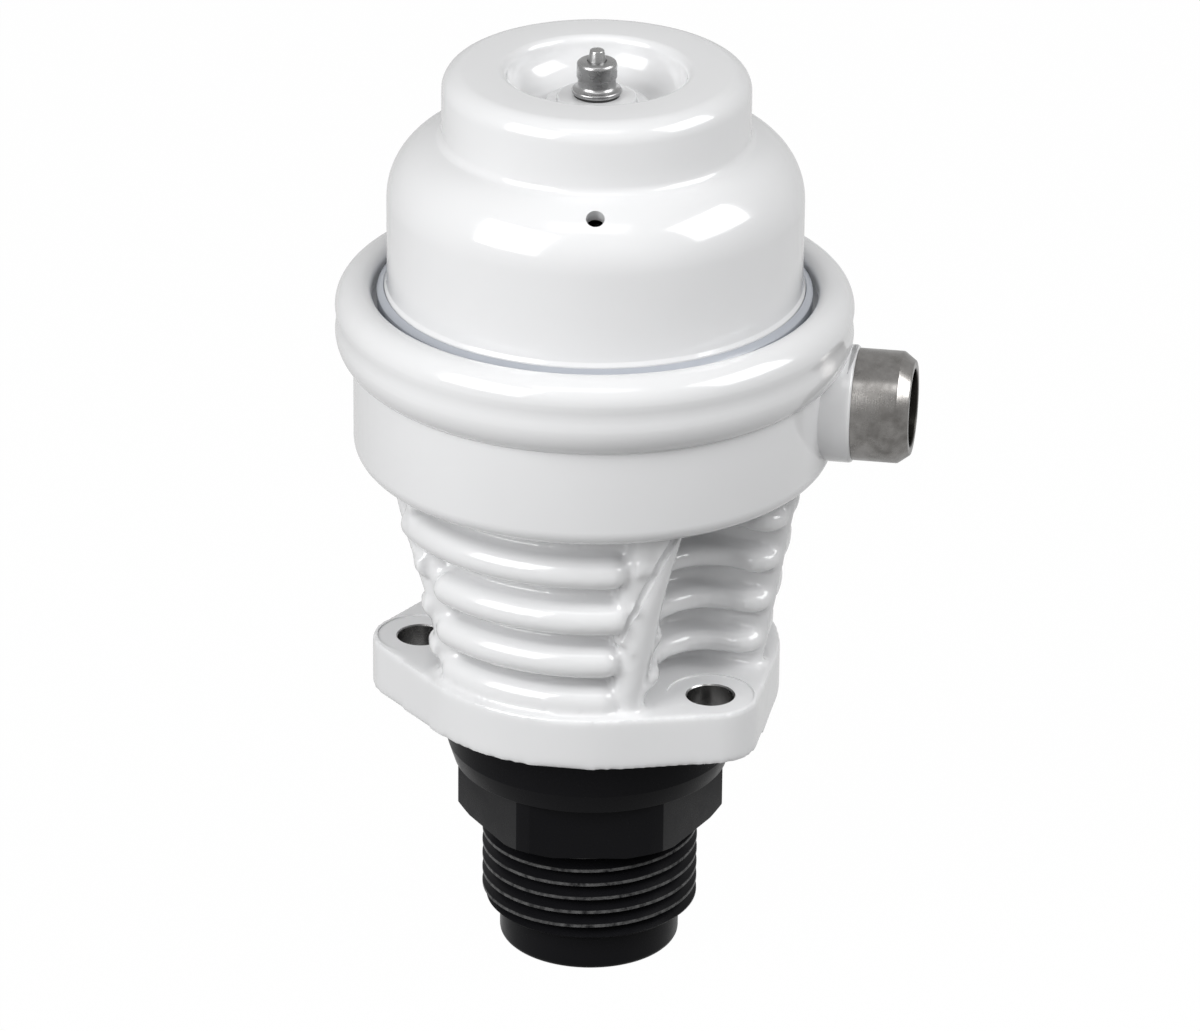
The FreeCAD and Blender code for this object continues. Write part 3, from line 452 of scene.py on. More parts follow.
def bowlProfile():
    size = bowl
    rise = size["bulgeHigh"] - size["bulgeLow"]
    outside = [(size["passage"], size["low"])]
    outside += rounded([
        (size["passage"] + 1, size["low"]), (size["radius"], size["low"], size["cornerRound"]),
        (size["radius"], size["rimLow"])], 8)[1:]
    # the low bulge of the rim, a shallow waist and the high bulge
    lowRound, highRound = size["bulgeRound"], size["rimTop"] - size["bulgeHigh"]
    start = -math.degrees(math.acos(1 - (size["rim"] - size["radius"]) / lowRound))
    outside += arcPoints((size["rim"] - lowRound, size["bulgeLow"]), lowRound, start, 0, 12)
    for share in (0.25, 0.5, 0.75):
        dip = size["waist"] * math.sin(math.pi * share) ** 2
        outside.append((size["rim"] - dip, size["bulgeLow"] + rise * share))
    outside += arcPoints((size["rim"] - highRound, size["bulgeHigh"]), highRound, 0, 90, 14)
    lip = size["lipRadius"] + size["lipRound"]
    outside += arcPoints((lip, size["rimTop"] - size["lipRound"]), size["lipRound"], 90, 180, 8)
    inside = [(size["lipRadius"], size["ledge"]), (size["wallInner"], size["ledge"]),
              (size["wallInner"], size["floor"]), (size["passage"], size["floor"])]
    return outside + inside


housingBowl = lathe("housingBowl", bowlProfile(), 256)
tubeDrill = rod("tubeDrill", tube["radius"], *tube["drill"], steps=96)
combine(housingBowl, turnAndMove(tubeDrill, (0, 90, 0), (0, 0, tube["level"])))
place(housingBowl, "housing")


def makeBoss(wall):
    # rings round the tube, the last three of them dropped onto the bowl's wall
    size = tube
    reach, edge, level = size["bossRadius"], size["bossEdge"], size["level"]
    front = size["bossEnd"] - size["bossBand"]
    rings = [(size["radius"], size["bossStart"]), (size["radius"], size["bossEnd"])]
    rings += arcPoints((reach - edge, size["bossEnd"] - edge), edge, 90, 0, 4) + [(reach, front)]
    boss = turnAndMove(lathe("tubeBoss", rings, 128, closed=False), (0, 90, 0), (0, 0, level))
    setMode("EDIT")
    bpy.ops.mesh.select_all(action="DESELECT")
    setMode("OBJECT")
    for side in boss.data.edges:
        ends = [boss.data.vertices[index].co / mm for index in side.vertices]
        side.select = all(abs(end.x - front) < 0.01 and math.hypot(end.y, end.z - level)
                          > reach - 0.1 for end in ends)
    setMode("EDIT")
    # the fillet's start, its corner on the wall and its end on the wall
    fillet = size["bossFillet"]
    for name, grow in (("start", 0), ("corner", 0), ("end", fillet)):
        bpy.ops.mesh.extrude_edges_move(TRANSFORM_OT_translate={"value": (2 * mm, 0, 0)})
        share = (reach + grow) / reach
        bpy.ops.transform.resize(value=(1, share, share), center_override=(0, 0, level * mm))
        setMode("OBJECT")
        group = boss.vertex_groups.new(name=name)
        group.add([v.index for v in boss.data.vertices if v.select], 1.0, "REPLACE")
        setMode("EDIT")
    setMode("OBJECT")
    for name, gap in (("start", fillet), ("corner", 0.0), ("end", -size["bossSink"])):
        modify(boss, "SHRINKWRAP", target=wall, wrap_method="PROJECT",
               use_project_x=True, use_project_y=False, use_project_z=False,
               use_negative_direction=True, use_positive_direction=False,
               vertex_group=name, offset=gap * mm)
    return boss


tubeBoss = makeBoss(housingBowl)
place(tubeBoss, "housing")
print("bowl and boss modelled")


# flange and finned neck, cast as one with the bowl

neck = {
    "flangeHigh": 10.5, "flangeRadius": 36.4, "earRadius": 9.3, "boltCircle": 33.0,
    "boltTurns": (75.0, 187.5, 322.5), "earSpread": 34.8, "holeRadius": 4.5, "holeEdge": 0.25,
    "spotRadius": 8.4, "spotDepth": 0.3, "spotToolHeight": 1.3, "bareBand": 0.3,
    "bowlLow": 49.4, "hiddenTop": 3.5, "lidThickness": 1.6, "lidRadius": 39.0,
    "coreInner": 0.4, "coreBottom": 1.0, "coreLow": 28.5, "coreHigh": 35.0,
    "finLow": 34.4, "finHigh": 41.2, "inner": 18.5, "gapRadius": 22.5, "hollow": 15.8,
    "scallop": 10.0, "cornerRound": 4.5, "frontRound": 7.6,
    "lobeTurn": 255.0, "ribHeight": 6.5, "ribMiddles": (12.5, 21.5, 31.2, 41.6),
    "ribLeftEnds": (35.4, 34.4, 31.8, 46.3), "ribRightEnds": (33.5, 33.8, 36.0, 34.6),
    "grooveDepth": 6.0,
    "thinLow": 14.2, "thinPitch": 8.9, "thinRise": 2.0, "thinHeight": 4.3, "thinCount": 4,
    "thinLayers": ((0.0, 0.45), (0.45, 0.75), (1.2, 1.0)),    # (inset, share of the height)
    "webStep": 1.3, "webOverlap": 0.3,
    "crease": ((27.0, 287.6), (29.7, 289.0), (34.9, 292.2), (43.7, 297.7), (52.5, 303.2)),
    "creaseWidth": 1.25, "creaseDepth": 1.5, "creaseReach": 4.0, "creaseStep": 0.5,
    "creaseOverlap": 0.4, "creaseVoxel": 0.25, "voxel": 0.65, "smoothing": 7,
    "pocketRadius": 20.05, "pocketDepth": 7.5, "passage": 15.5, "boreHigh": 54.4,
    "reliefInner": 27.0, "reliefOuter": 28.1, "reliefDepth": 0.5,
}

# each web: how far it stands past the fins, and its turn and thickness at some levels
webs = {
    "frontRight": (-0.3, ((10, 291.8, 6.0), (16, 292.2, 6.2), (23, 293.8, 6.8), (32, 295.2, 6.8),
                          (42, 298.6, 5.2), (53, 302.4, 4.6))),
    "frontRightUpper": (-1.2, ((26, 288.6, 3.0), (34, 290.4, 4.6), (43, 293.6, 5.4),
                               (53, 297.6, 7.4))),
    "frontLeft": (-1.6, ((10, 219.4, 4.6), (26, 218.6, 4.6), (31, 215.4, 4.4), (36, 211.6, 4.2),
                         (41, 207.6, 4.0), (53, 201.2, 4.0))),
    "frontLeftFill": (-2.4, ((10, 223.4, 6.0), (31, 221.4, 6.0), (41, 213.0, 4.6),
                             (53, 207.8, 4.6))),
    "rightBack": (0.0, ((10, 350.8, 3.6), (53, 350.8, 3.6))),
    "backRight": (0.0, ((10, 46.7, 3.6), (53, 46.7, 3.6))),
    "backLeft": (0.0, ((10, 103.3, 3.6), (53, 103.3, 3.6))),
    "leftBack": (0.0, ((10, 159.2, 3.6), (53, 159.2, 3.6))),
}


def finRadius(level):
    # the fins widen from the flange up to the bowl
    share = (level - neck["flangeHigh"]) / (neck["bowlLow"] - neck["flangeHigh"])
    return neck["finLow"] + (neck["finHigh"] - neck["finLow"]) * share


def flangeOutline():
    # a disc with three bolt ears, joined by tangent lines
    spread, turns, points = neck["earSpread"], neck["boltTurns"], []
    for index, turn in enumerate(turns):
        following = (turns + (turns[0] + 360,))[index + 1]
        points += arcPoints(polar(neck["boltCircle"], turn), neck["earRadius"],
                            turn - spread, turn + spread, 16)
        points += arcPoints((0, 0), neck["flangeRadius"], turn + spread, following - spread, 16)
    return points


def lobeCorner(reach, scallop, cornerRound):
    # a lobe's corner beside a bolt: its round, its centre's radius and swing, and where it faces
    circle = neck["boltCircle"]
    inside, apart = reach - cornerRound, scallop + cornerRound
    swing = math.degrees(math.acos((inside ** 2 + circle ** 2 - apart ** 2)
                                   / (2 * inside * circle)))
    corner = polar(inside, swing)
    return cornerRound, inside, swing, math.degrees(math.atan2(corner[1], corner[0] - circle))


def lobedOutline(reach, scallop, inset, frontWebs):
    # three lobes between the bolts, and nothing but core between the two front webs
    side = lobeCorner(reach, scallop, neck["cornerRound"] - inset)
    front = lobeCorner(reach, scallop, neck["frontRound"] - inset)
    turns, points = neck["boltTurns"], []
    for index, turn in enumerate(turns):
        earlier = ((turns[-1] - 360,) + turns)[index]
        following = (turns + (turns[0] + 360,))[index + 1]
        cornerRound, inside, swing, facing = front if earlier < neck["lobeTurn"] < turn else side
        points += arcPoints(polar(inside, turn - swing), cornerRound,
                            turn - swing, turn + 180 - facing, 10)
        scallopStart = turn + 360 - facing
        cornerRound, inside, swing, facing = front if turn < neck["lobeTurn"] < following else side
        points += arcPoints(polar(neck["boltCircle"], turn), scallop, scallopStart, turn + facing, 20)
        points += arcPoints(polar(inside, turn + swing), cornerRound,
                            turn - 180 + facing, turn + swing, 10)
        if turn < neck["lobeTurn"] < following:
            starts, ends = max(turn + swing, frontWebs[0]), min(following - swing, frontWebs[1])
            points += arcPoints((0, 0), reach, turn + swing, starts, 6)
            points += arcPoints((0, 0), neck["gapRadius"], starts, ends, 12)
            points += arcPoints((0, 0), reach, ends, following - swing, 6)
        else:
            points += arcPoints((0, 0), reach, turn + swing, following - swing, 30)
    # of points that nearly fall together, only the first is kept
    kept, nearest = [points[0]], 0.02
    for point in points[1:]:
        if math.dist(point, kept[-1]) > nearest:
            kept.append(point)
    return kept


def between(spots, level):
    # the values of a list of (level, value, ...) at one level
    for here, there in zip(spots, spots[1:]):
        if level <= there[0]:
            break
    share = (level - here[0]) / (there[0] - here[0])
    return [a + (b - a) * share for a, b in zip(here[1:], there[1:])]


def webTurn(name, level):
    return between(webs[name][1], level)[0]


def makeWeb(name):
    # stacks of short upright plates with a round outer edge, turned and pushed out by level
    proud, spots = webs[name]
    ceiling, overlap = neck["bowlLow"] + neck["hiddenTop"], neck["webOverlap"]
    pieces, level = [], spots[0][0]
    while level < spots[-1][0]:
        top = min(level + neck["webStep"], spots[-1][0])
        middle = (level + top) / 2
        turn, thickness = between(spots, middle)
        half = thickness / 2
        first, last = arcPoints(polar(neck["inner"], turn), half, turn - 90, turn + 90, 1)
        tip = polar(finRadius(middle) + proud - half, turn)
        outline = [first] + arcPoints(tip, half, turn - 90, turn + 90, 8) + [last]
        pieces.append(slab(name, outline, level - overlap, min(top + overlap, ceiling)))
        level = top
    return pieces


def makeThickRib(middle, leftEnd, rightEnd):
    # a fat rib of round section with a round nose at each end
    half = neck["ribHeight"] / 2
    centre = finRadius(middle) - half
    nose = math.degrees(half / centre)
    profile = [(neck["inner"], middle - half)]
    profile += arcPoints((centre, middle), half, -90, 90, 12) + [(neck["inner"], middle + half)]
    first = neck["lobeTurn"] - leftEnd + nose
    last = neck["lobeTurn"] + rightEnd - nose
    pieces = [lathe("thickRib", profile, 40, turn=last - first, start=first)]
    for turn in (first, last):
        x, y = polar(centre, turn)
        deselect()
        bpy.ops.mesh.primitive_uv_sphere_add(segments=32, ring_count=16, radius=half * mm,
                                             location=(x * mm, y * mm, middle * mm))
        pieces.append(added("noseEnd"))
        nosePiece = rod("nose", half, neck["inner"], centre, steps=32)
        pieces.append(turnAndMove(nosePiece, (0, 90, turn), (0, 0, middle)))
    return pieces


def makeGrooveFloor():
    # the metal behind the fat ribs, at the bottom of the grooves between them
    size = neck
    depth, low, high = size["grooveDepth"], size["flangeHigh"], size["bowlLow"] + size["hiddenTop"]
    first = webTurn("frontLeft", 30)
    last = webTurn("frontRight", 20)
    return lathe("grooveFloor", [
        (size["inner"], low), (finRadius(low) - depth, low), (finRadius(high) - depth, high),
        (size["inner"], high)], 48, turn=last - first, start=first)


def makeCrease():
    # short blocks along a slanting line, which cut a soft crease into the web
    size = neck
    half, overlap = size["creaseWidth"] / 2, size["creaseOverlap"]
    pieces, level = [], size["crease"][0][0]
    while level < size["crease"][-1][0]:
        turn = between(size["crease"], level)[0]
        inner = finRadius(level) - size["creaseDepth"]
        outer = inner + size["creaseReach"]
        block = slab("crease", [(inner, -half), (outer, -half), (outer, half), (inner, half)],
                     level - overlap, level + overlap)
        pieces.append(turnAndMove(block, (0, 0, turn)))
        level += size["creaseStep"]
    crease = join(pieces)
    modify(crease, "REMESH", mode="VOXEL", voxel_size=size["creaseVoxel"] * mm)
    return crease


def makeNeck():
    # core, flange, ribs and webs, melted together and softened as a casting is
    size = neck
    low, high, inner = size["flangeHigh"], size["bowlLow"], size["coreInner"]
    top = high + size["hiddenTop"]
    core = lathe("neckCore", [
        (inner, size["coreBottom"]), (size["coreLow"], size["coreBottom"]),
        (size["coreLow"], low), (size["coreHigh"], high), (size["coreHigh"], top),
        (inner, top)], 128)
    for turn in size["boltTurns"]:
        combine(core, rod("hollow", size["hollow"], low, top + past,
                          *polar(size["boltCircle"], turn), 96))
    pieces = [core, slab("flange", flangeOutline(), 0, low)]
    lidLow, lidRadius = top - size["lidThickness"], size["lidRadius"]
    pieces.append(lathe("collarInBowl", [
        (inner, lidLow), (lidRadius, lidLow), (lidRadius, top), (inner, top)], 96))
    for middle, left, right in zip(size["ribMiddles"], size["ribLeftEnds"],
                                   size["ribRightEnds"]):
        pieces += makeThickRib(middle, left, right)
    for index in range(size["thinCount"]):
        bottom = size["thinLow"] + size["thinPitch"] * index
        middle, half = bottom + size["thinRise"], size["thinHeight"] / 2
        front = (webTurn("frontLeft", middle), webTurn("frontRight", middle))
        for inset, share in size["thinLayers"]:
            outline = lobedOutline(finRadius(bottom) - inset, size["scallop"] + inset, inset, front)
            pieces.append(slab("thinRib", outline, middle - half * share, middle + half * share))
    for name in webs:
        pieces += makeWeb(name)
    pieces.append(makeGrooveFloor())
    casting = join(pieces)
    casting.name = "housingNeck"
    modify(casting, "REMESH", mode="VOXEL", voxel_size=size["voxel"] * mm)
    combine(casting, makeCrease())
    modify(casting, "SMOOTH", factor=0.5, iterations=size["smoothing"])
    return casting


def cutNeck(casting):
    # bores the passage and its pocket, turns the relief and drills the bolt holes
    size = neck
    tools = [lathe("boreTool", [
        (0, -past), (size["pocketRadius"], -past), (size["pocketRadius"], size["pocketDepth"]),
        (size["passage"], size["pocketDepth"]), (size["passage"], size["boreHigh"]),
        (0, size["boreHigh"])], 192)]
    inner, outer, depth = size["reliefInner"], size["reliefOuter"], size["reliefDepth"]
    tools.append(lathe("reliefTool", [
        (inner, -past), (outer, -past), (outer, depth), (inner, depth)], 192))
    hole, spot, edge = size["holeRadius"], size["spotRadius"], size["holeEdge"]
    floor = size["flangeHigh"] - size["spotDepth"]
    top = floor + size["spotToolHeight"]
    for turn in size["boltTurns"]:
        drill = lathe("boltTool", [
            (0, -past), (hole, -past), (hole, floor - edge), (hole + edge, floor),
            (spot, floor), (spot, top), (0, top)], 96)
        tools.append(turnAndMove(drill, (0, 0, 0), (*polar(size["boltCircle"], turn), 0)))
    combine(casting, join(tools))


def bareHoles(piece):
    # the drilled walls are bare metal
    piece.data.materials.clear()
    piece.data.materials.append(finishes["white_paint"])
    piece.data.materials.append(bareHole)
    centres = [polar(neck["boltCircle"], turn) for turn in neck["boltTurns"]]
    for face in piece.data.polygons:
        x, y, level = face.center / mm
        away = min(math.hypot(x - centre[0], y - centre[1]) for centre in centres)
        if (away < neck["holeRadius"] + neck["bareBand"] and level < neck["flangeHigh"]
                and abs(face.normal.z) < 0.9):
            face.material_index = 1


bareHole = bareSteel("bareHole", "Z", 5200, (0.24, 0.24, 0.24, 1), (0.46, 0.455, 0.45, 1))
housingNeck = makeNeck()
print("neck cast", len(housingNeck.data.polygons))
cutNeck(housingNeck)
bareHoles(housingNeck)
place(housingNeck, "housing", angle=40)
print("neck drilled", len(housingNeck.data.polygons))


# hub on three spokes inside the passage

hub = {
    "radius": 8.6, "low": 24.0, "high": 42.0, "bore": 6.0, "sealRadius": 7.0, "boreHigh": 38.0,
    "lip": 7.6, "lipLow": 40.6, "spokeTurns": (75.0, 195.0, 315.0), "spokeThickness": 4.0,
    "spokeLow": 26.0, "spokeHigh": 40.0, "spokeRoot": 0.6, "spokeTip": 0.8, "spokeEdge": 0.6,
    "edge": 0.5,
}


def makeHub():
    size = hub
    edge, half = size["edge"], size["spokeThickness"] / 2
    pieces = [lathe("housingHub", rounded([
        (size["bore"], size["low"]), (size["radius"], size["low"], edge),
        (size["radius"], size["high"], edge), (size["lip"], size["high"]),
        (size["lip"], size["lipLow"]), (size["sealRadius"], size["lipLow"]),
        (size["sealRadius"], size["boreHigh"]), (size["bore"], size["boreHigh"])], 4), 96)]
    inner, outer = size["radius"] - size["spokeRoot"], neck["passage"] + size["spokeTip"]
    for turn in size["spokeTurns"]:
        spoke = slab("spoke", [(inner, 0), (inner, half), (outer, half), (outer, -half),
                               (inner, -half)], size["spokeLow"], size["spokeHigh"])
        modify(spoke, "BEVEL", width=size["spokeEdge"] * mm, segments=3)
        pieces.append(turnAndMove(spoke, (0, 0, turn)))
    return join(pieces)


housingHub = makeHub()
place(housingHub, "housing")


# cover

cover = {
    "inner": 36.0, "flangeLow": 76.6, "flangeRadius": 41.9, "flangeHigh": 79.6,
    "foot": 39.8, "footHigh": 85.0, "flareHigh": 86.6, "radius": 39.3,
    "shoulderRound": 12.5, "shoulderLevel": 102.5, "drum": 29.0, "creaseRound": 1.9,
    "top": 128.1, "topRound": 3.9, "recess": 16.9, "mouthRound": 1.5, "funnelRound": 6.1,
    "floor": 120.4, "ledgeRadius": 9.8, "ledge": 121.6, "bossRadius": 7.5, "boss": 123.0,
    "hole": 3.0, "ceiling": 115.0, "drumInner": 25.0,
    "ventRadius": 1.7, "ventTurn": 279.0, "ventRise": 52.0, "ventStart": 5.0, "ventPast": 2.0,
    "ventEdge": 0.2, "ventEdgeHigh": 0.08,
}


def coverProfile():
    size = cover
    centre, level = size["radius"] - size["shoulderRound"], size["shoulderLevel"]
    big, small = size["shoulderRound"], size["creaseRound"]
    # a small hollow round joins the shoulder to the drum
    across = size["drum"] + small - centre
    up = math.sqrt((big + small) ** 2 - across ** 2)
    lean = math.degrees(math.atan2(up, across))
    points = rounded([
        (size["inner"], size["flangeLow"]), (size["flangeRadius"], size["flangeLow"], 0.3),
        (size["flangeRadius"], size["flangeHigh"], 0.3), (size["foot"], size["flangeHigh"]),
        (size["foot"], size["footHigh"] - 0.05, 0.35),
        (size["radius"] + 0.12, size["flareHigh"] - 0.9, 0.8),
        (size["radius"], size["flareHigh"] + 0.5)], 5)
    points += [(size["radius"], size["flareHigh"] + step) for step in (4.5, 9.0)]
    points += arcPoints((centre, level), big, 0, lean, 26)
    points += arcPoints((size["drum"] + small, level + up), small, lean + 180, 180, 8)[1:]
    points += [(size["drum"], level + up + 3)]
    points += arcPoints((size["drum"] - size["topRound"], size["top"] - size["topRound"]),
                        size["topRound"], 0, 90, 14)
    points += arcPoints((size["recess"] + size["mouthRound"], size["top"] - size["mouthRound"]),
                        size["mouthRound"], 90, 180, 8)
    funnel = size["recess"] - size["funnelRound"]
    points += arcPoints((funnel, size["floor"] + size["funnelRound"]), size["funnelRound"],
                        0, -90, 16)[1:]
    points += rounded([
        (funnel, size["floor"]), (size["ledgeRadius"], size["floor"], 0.3),
        (size["ledgeRadius"], size["ledge"], 0.35), (size["bossRadius"], size["ledge"], 0.4),
        (size["bossRadius"], size["boss"], 0.4), (size["hole"], size["boss"])], 4)[1:]
    points += [(size["hole"], size["ceiling"]), (size["drumInner"], size["ceiling"])]
    inner = size["inner"] - centre
    rise = math.degrees(math.acos((size["drumInner"] - centre) / inner))
    points += arcPoints((centre, level), inner, rise, 0, 14)
    return points


def makeCover():
    size = cover
    shell = lathe("valveCover", coverProfile(), 256)
    # the vent's drill starts on the shoulder's centre and breaks the hole's edge
    start, wide = size["ventStart"], size["ventRadius"] + size["ventEdge"]
    edgeTop = size["shoulderRound"] + size["ventEdgeHigh"]
    end = size["shoulderRound"] + size["ventPast"]
    drill = lathe("ventTool", [
        (0, start), (size["ventRadius"], start), (size["ventRadius"], edgeTop - size["ventEdge"]),
        (wide, edgeTop), (wide, end), (0, end)], 64)
    centre = polar(size["radius"] - size["shoulderRound"], size["ventTurn"])
    turnAndMove(drill, (0, 90 - size["ventRise"], size["ventTurn"]),
                (*centre, size["shoulderLevel"]))
    combine(shell, drill)
    return shell


valveCover = makeCover()
place(valveCover, "cover", angle=36)
print("cover modelled")


# retaining ring that holds the cover down

ring = {
    "inner": 39.85, "outer": 41.2, "grooveRadius": 43.5, "low": 79.65, "step": 81.5,
    "top": 84.95, "slope": 1.1, "edge": 0.18, "split": 8.0, "splitTurn": 99.0,
    "splitInner": 30.0, "splitOuter": 50.0,
}


def makeRing():
    size = ring
    band = lathe("retainingRing", rounded([
        (size["inner"], size["low"]), (size["grooveRadius"], size["low"], 0.1),
        (size["grooveRadius"], size["step"], 0.1), (size["outer"], size["step"]),
        (size["outer"], size["top"] - size["slope"], size["edge"]),
        (size["inner"], size["top"], size["edge"]), (size["inner"], size["low"] + seam)], 3), 256)
    half, inner, outer = size["split"] / 2, size["splitInner"], size["splitOuter"]
    gap = slab("splitTool", [(inner, -half), (outer, -half), (outer, half), (inner, half)],
               size["low"] - past, size["top"] + past)
    combine(band, turnAndMove(gap, (0, 0, size["splitTurn"])))
    return band


retainingRing = makeRing()
place(retainingRing, "retaining_ring", angle=30)


# outlet tube

def makeTube():
    size = tube
    shank = size["radius"] - size["shankStep"]
    end, chamfer, radial = size["end"], size["chamfer"], size["chamferRadial"]
    pipe = lathe("outletTube", rounded([
        (size["bore"], size["start"]), (shank, size["start"]), (shank, size["bossEnd"]),
        (size["radius"], size["bossEnd"], 0.12), (size["radius"], end - chamfer, 0.7),
        (size["radius"] - radial, end, 0.35), (size["bore"], end, 0.3),
        (size["bore"], size["start"] + seam)], 6), 192)
    return turnAndMove(pipe, (0, 90, 0), (0, 0, size["level"]))


outletTube = makeTube()
place(outletTube, "outlet_tube", angle=30)
print("ring and tube modelled")


# guide stub and indicator pin on top

stub = {
    "bore": 1.8, "radius": 3.8, "top": 129.9, "topRound": 0.85, "waist": 3.58,
    "waistHigh": 126.7, "disc": 4.7, "discLow": 123.5, "discHigh": 124.5,
    "shank": 3.0, "shankLow": 108.6,
}
pin = {"low": 89.0, "radius": 1.75, "tip": 1.32, "shoulder": 129.8, "top": 132.0, "edge": 0.28}


def makeStub():
    size = stub
    return lathe("guideStub", rounded([
        (size["bore"], size["shankLow"]), (size["shank"], size["shankLow"]),
        (size["shank"], size["discLow"]), (size["disc"], size["discLow"], 0.3),
        (size["disc"], size["discHigh"] - 0.1, 0.42), (size["waist"], size["discHigh"] + 0.15, 1.1),
        (size["waist"], size["waistHigh"] - 0.15, 0.2), (size["radius"], size["waistHigh"], 0.2),
        (size["radius"], size["top"], size["topRound"]), (size["bore"], size["top"], 0.12),
        (size["bore"], size["shankLow"] + seam)], 6), 96)


def makePin():
    size = pin
    return lathe("indicatorPin", rounded([
        (0, size["low"]), (size["radius"], size["low"], 0.2),
        (size["radius"], size["shoulder"], 0.2), (size["tip"], size["top"], size["edge"]),
        (0, size["top"])], 5), 64)


guideStub = makeStub()
place(guideStub, "guide_stub", angle=30)
indicatorPin = makePin()
place(indicatorPin, "indicator_pin", "lift_group", angle=30)


# main spring and diaphragm, modelled at one pose; on the real valve both change shape as it lifts

soft = {
    "lift": 5.0, "coil": 20.5, "wire": 1.6, "springLow": 79.65, "springHigh": 109.35, "turns": 6,
    "hole": 3.0, "low": 75.0, "high": 76.6, "centre": 27.8, "rim": 36.1, "outer": 41.6,
    "foldMiddle": 32.0, "foldInner": 2.4, "foldOuter": 4.0, "folds": 20, "bendStart": 35.6,
}


def makeSpring():
    # a circle of wire screwed up to a plain coil, with its two ends closed
    size = soft
    low, high = size["springLow"] + size["wire"], size["springHigh"] - size["wire"]
    deselect()
    bpy.ops.mesh.primitive_circle_add(
        vertices=20, radius=size["wire"] * mm, location=(size["coil"] * mm, 0, low * mm),
        rotation=(math.pi / 2, 0, 0))
    spring = added("mainSpring")
    modify(spring, "SCREW", axis="Z", angle=math.radians(360), iterations=size["turns"],
           screw_offset=(high - low) / size["turns"] * mm, steps=64, render_steps=64)
    setMode("EDIT")
    weld()
    bpy.ops.mesh.fill_holes(sides=0)
    faceOutwards()
    return spring


def makeFolds():
    # one slice of the rolling fold, copied round the axis, each slice its own piece
    size = soft
    middle = (size["foldMiddle"], size["low"])
    lean = math.degrees(math.asin((size["high"] - size["low"]) / size["foldOuter"]))
    profile = [(size["centre"], size["low"])]
    profile += arcPoints(middle, size["foldInner"], 180, 0, 14)
    profile += [(size["rim"], size["low"]), (size["rim"], size["high"])]
    profile += arcPoints(middle, size["foldOuter"], lean, 180 - lean, 16)
    profile += [(size["centre"], size["high"])]
    turn = 360 / size["folds"]
    first = lathe("diaphragmFold", profile, 6, turn=turn, start=-turn / 2)
    slices = []
    for index in range(size["folds"]):
        copy = first.copy()
        copy.data = first.data.copy()
        copy.name = f"diaphragmFold{index + 1}"
        bpy.context.collection.objects.link(copy)
        slices.append(turnAndMove(copy, (0, 0, turn * index)))
    remove(first)
    return slices


def flatRing(name, inner, outer):
    low, high = soft["low"], soft["high"]
    return lathe(name, [(inner, low), (outer, low), (outer, high), (inner, high)], 120)


mainSpring = makeSpring()
place(mainSpring, "main_spring", angle=40)
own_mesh(mainSpring)
for part, body in ((flatRing("diaphragmCentre", soft["hole"], soft["centre"]), "lift_group"),
                   (flatRing("diaphragmRim", soft["rim"], soft["outer"]), "valve_body")):
    place(part, "diaphragm", body)
for index, part in enumerate(makeFolds()):
    place(part, "diaphragm", None, angle=40)  # given no body of its own
    turn = 360 / soft["folds"] * index
    polar(soft["bendStart"] * mm, turn)
    polar(soft["centre"] * mm, turn)
    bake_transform(part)
print("spring and diaphragm modelled")


# inlet adapter: collar, hexagon, thread and spigot

adapter = {
    "bore": 12.0, "neck": 20.0, "neckHigh": 7.0, "seatRadius": 14.5, "seatLow": 1.0,
    "collar": 27.9, "collarLow": 26.6, "collarStraight": -10.0, "hexTop": -14.0,
    "hexLow": -25.7, "acrossFlats": 46.0, "hexCorner": 25.75, "hexTurn": 9.0,
    "threadRadius": 21.0, "threadRoot": 19.16, "threadLow": -45.4, "pitch": 3.0, "crest": 0.5,
    "leadIn": 1.5, "leadRadius": 19.06, "threadTurned": 0.02,
    "chamfer": 1.0, "chamferWidth": 1.73, "edge": 0.2,
    "spigot": 17.5, "spigotLow": -53.1, "spigotRound": 1.3, "mouth": 0.8,
    "sealInner": 22.85, "sealOuter": 24.75, "sealDepth": 1.9,
}


def makeThread():
    # a right-hand screw of one V turn, closed by a point at each end and trimmed by an envelope
    size = adapter
    low, high, pitch = size["threadLow"], size["hexLow"], size["pitch"]
    root, crest = size["threadRoot"], size["threadRadius"]
    flank, first = (pitch - size["crest"]) / 2, low - pitch
    thread = chain("thread", [
        (root, first), (crest, first + flank), (crest, first + flank + size["crest"]),
        (root, first + pitch)])
    setMode("OBJECT")
    modify(thread, "SCREW", axis="Z", angle=math.radians(360), screw_offset=pitch * mm,
           iterations=math.ceil((high - low) / pitch) + 3, steps=144, render_steps=144)
    setMode("EDIT")
    weld()
    middle = (low + high) / 2 * mm
    for upper, outward in ((False, -pitch), (True, pitch)):
        bpy.ops.mesh.select_all(action="DESELECT")
        bpy.ops.mesh.select_non_manifold()
        setMode("OBJECT")
        for vertex in thread.data.vertices:
            vertex.select = vertex.select and (vertex.co.z > middle) == upper
        for edge in thread.data.edges:
            edge.select = edge.select and all(thread.data.vertices[i].select for i in edge.vertices)
        setMode("EDIT")
        bpy.ops.mesh.extrude_edges_move(TRANSFORM_OT_translate={"value": (0, 0, outward * mm)})
        bpy.ops.mesh.merge(type="CENTER")
    faceOutwards()
    outer = crest - size["threadTurned"]
    combine(thread, lathe("threadEnvelope", [
        (0, low), (size["leadRadius"], low), (outer, low + size["leadIn"]), (outer, high + past),
        (0, high + past)], 144), "INTERSECT")
    return thread


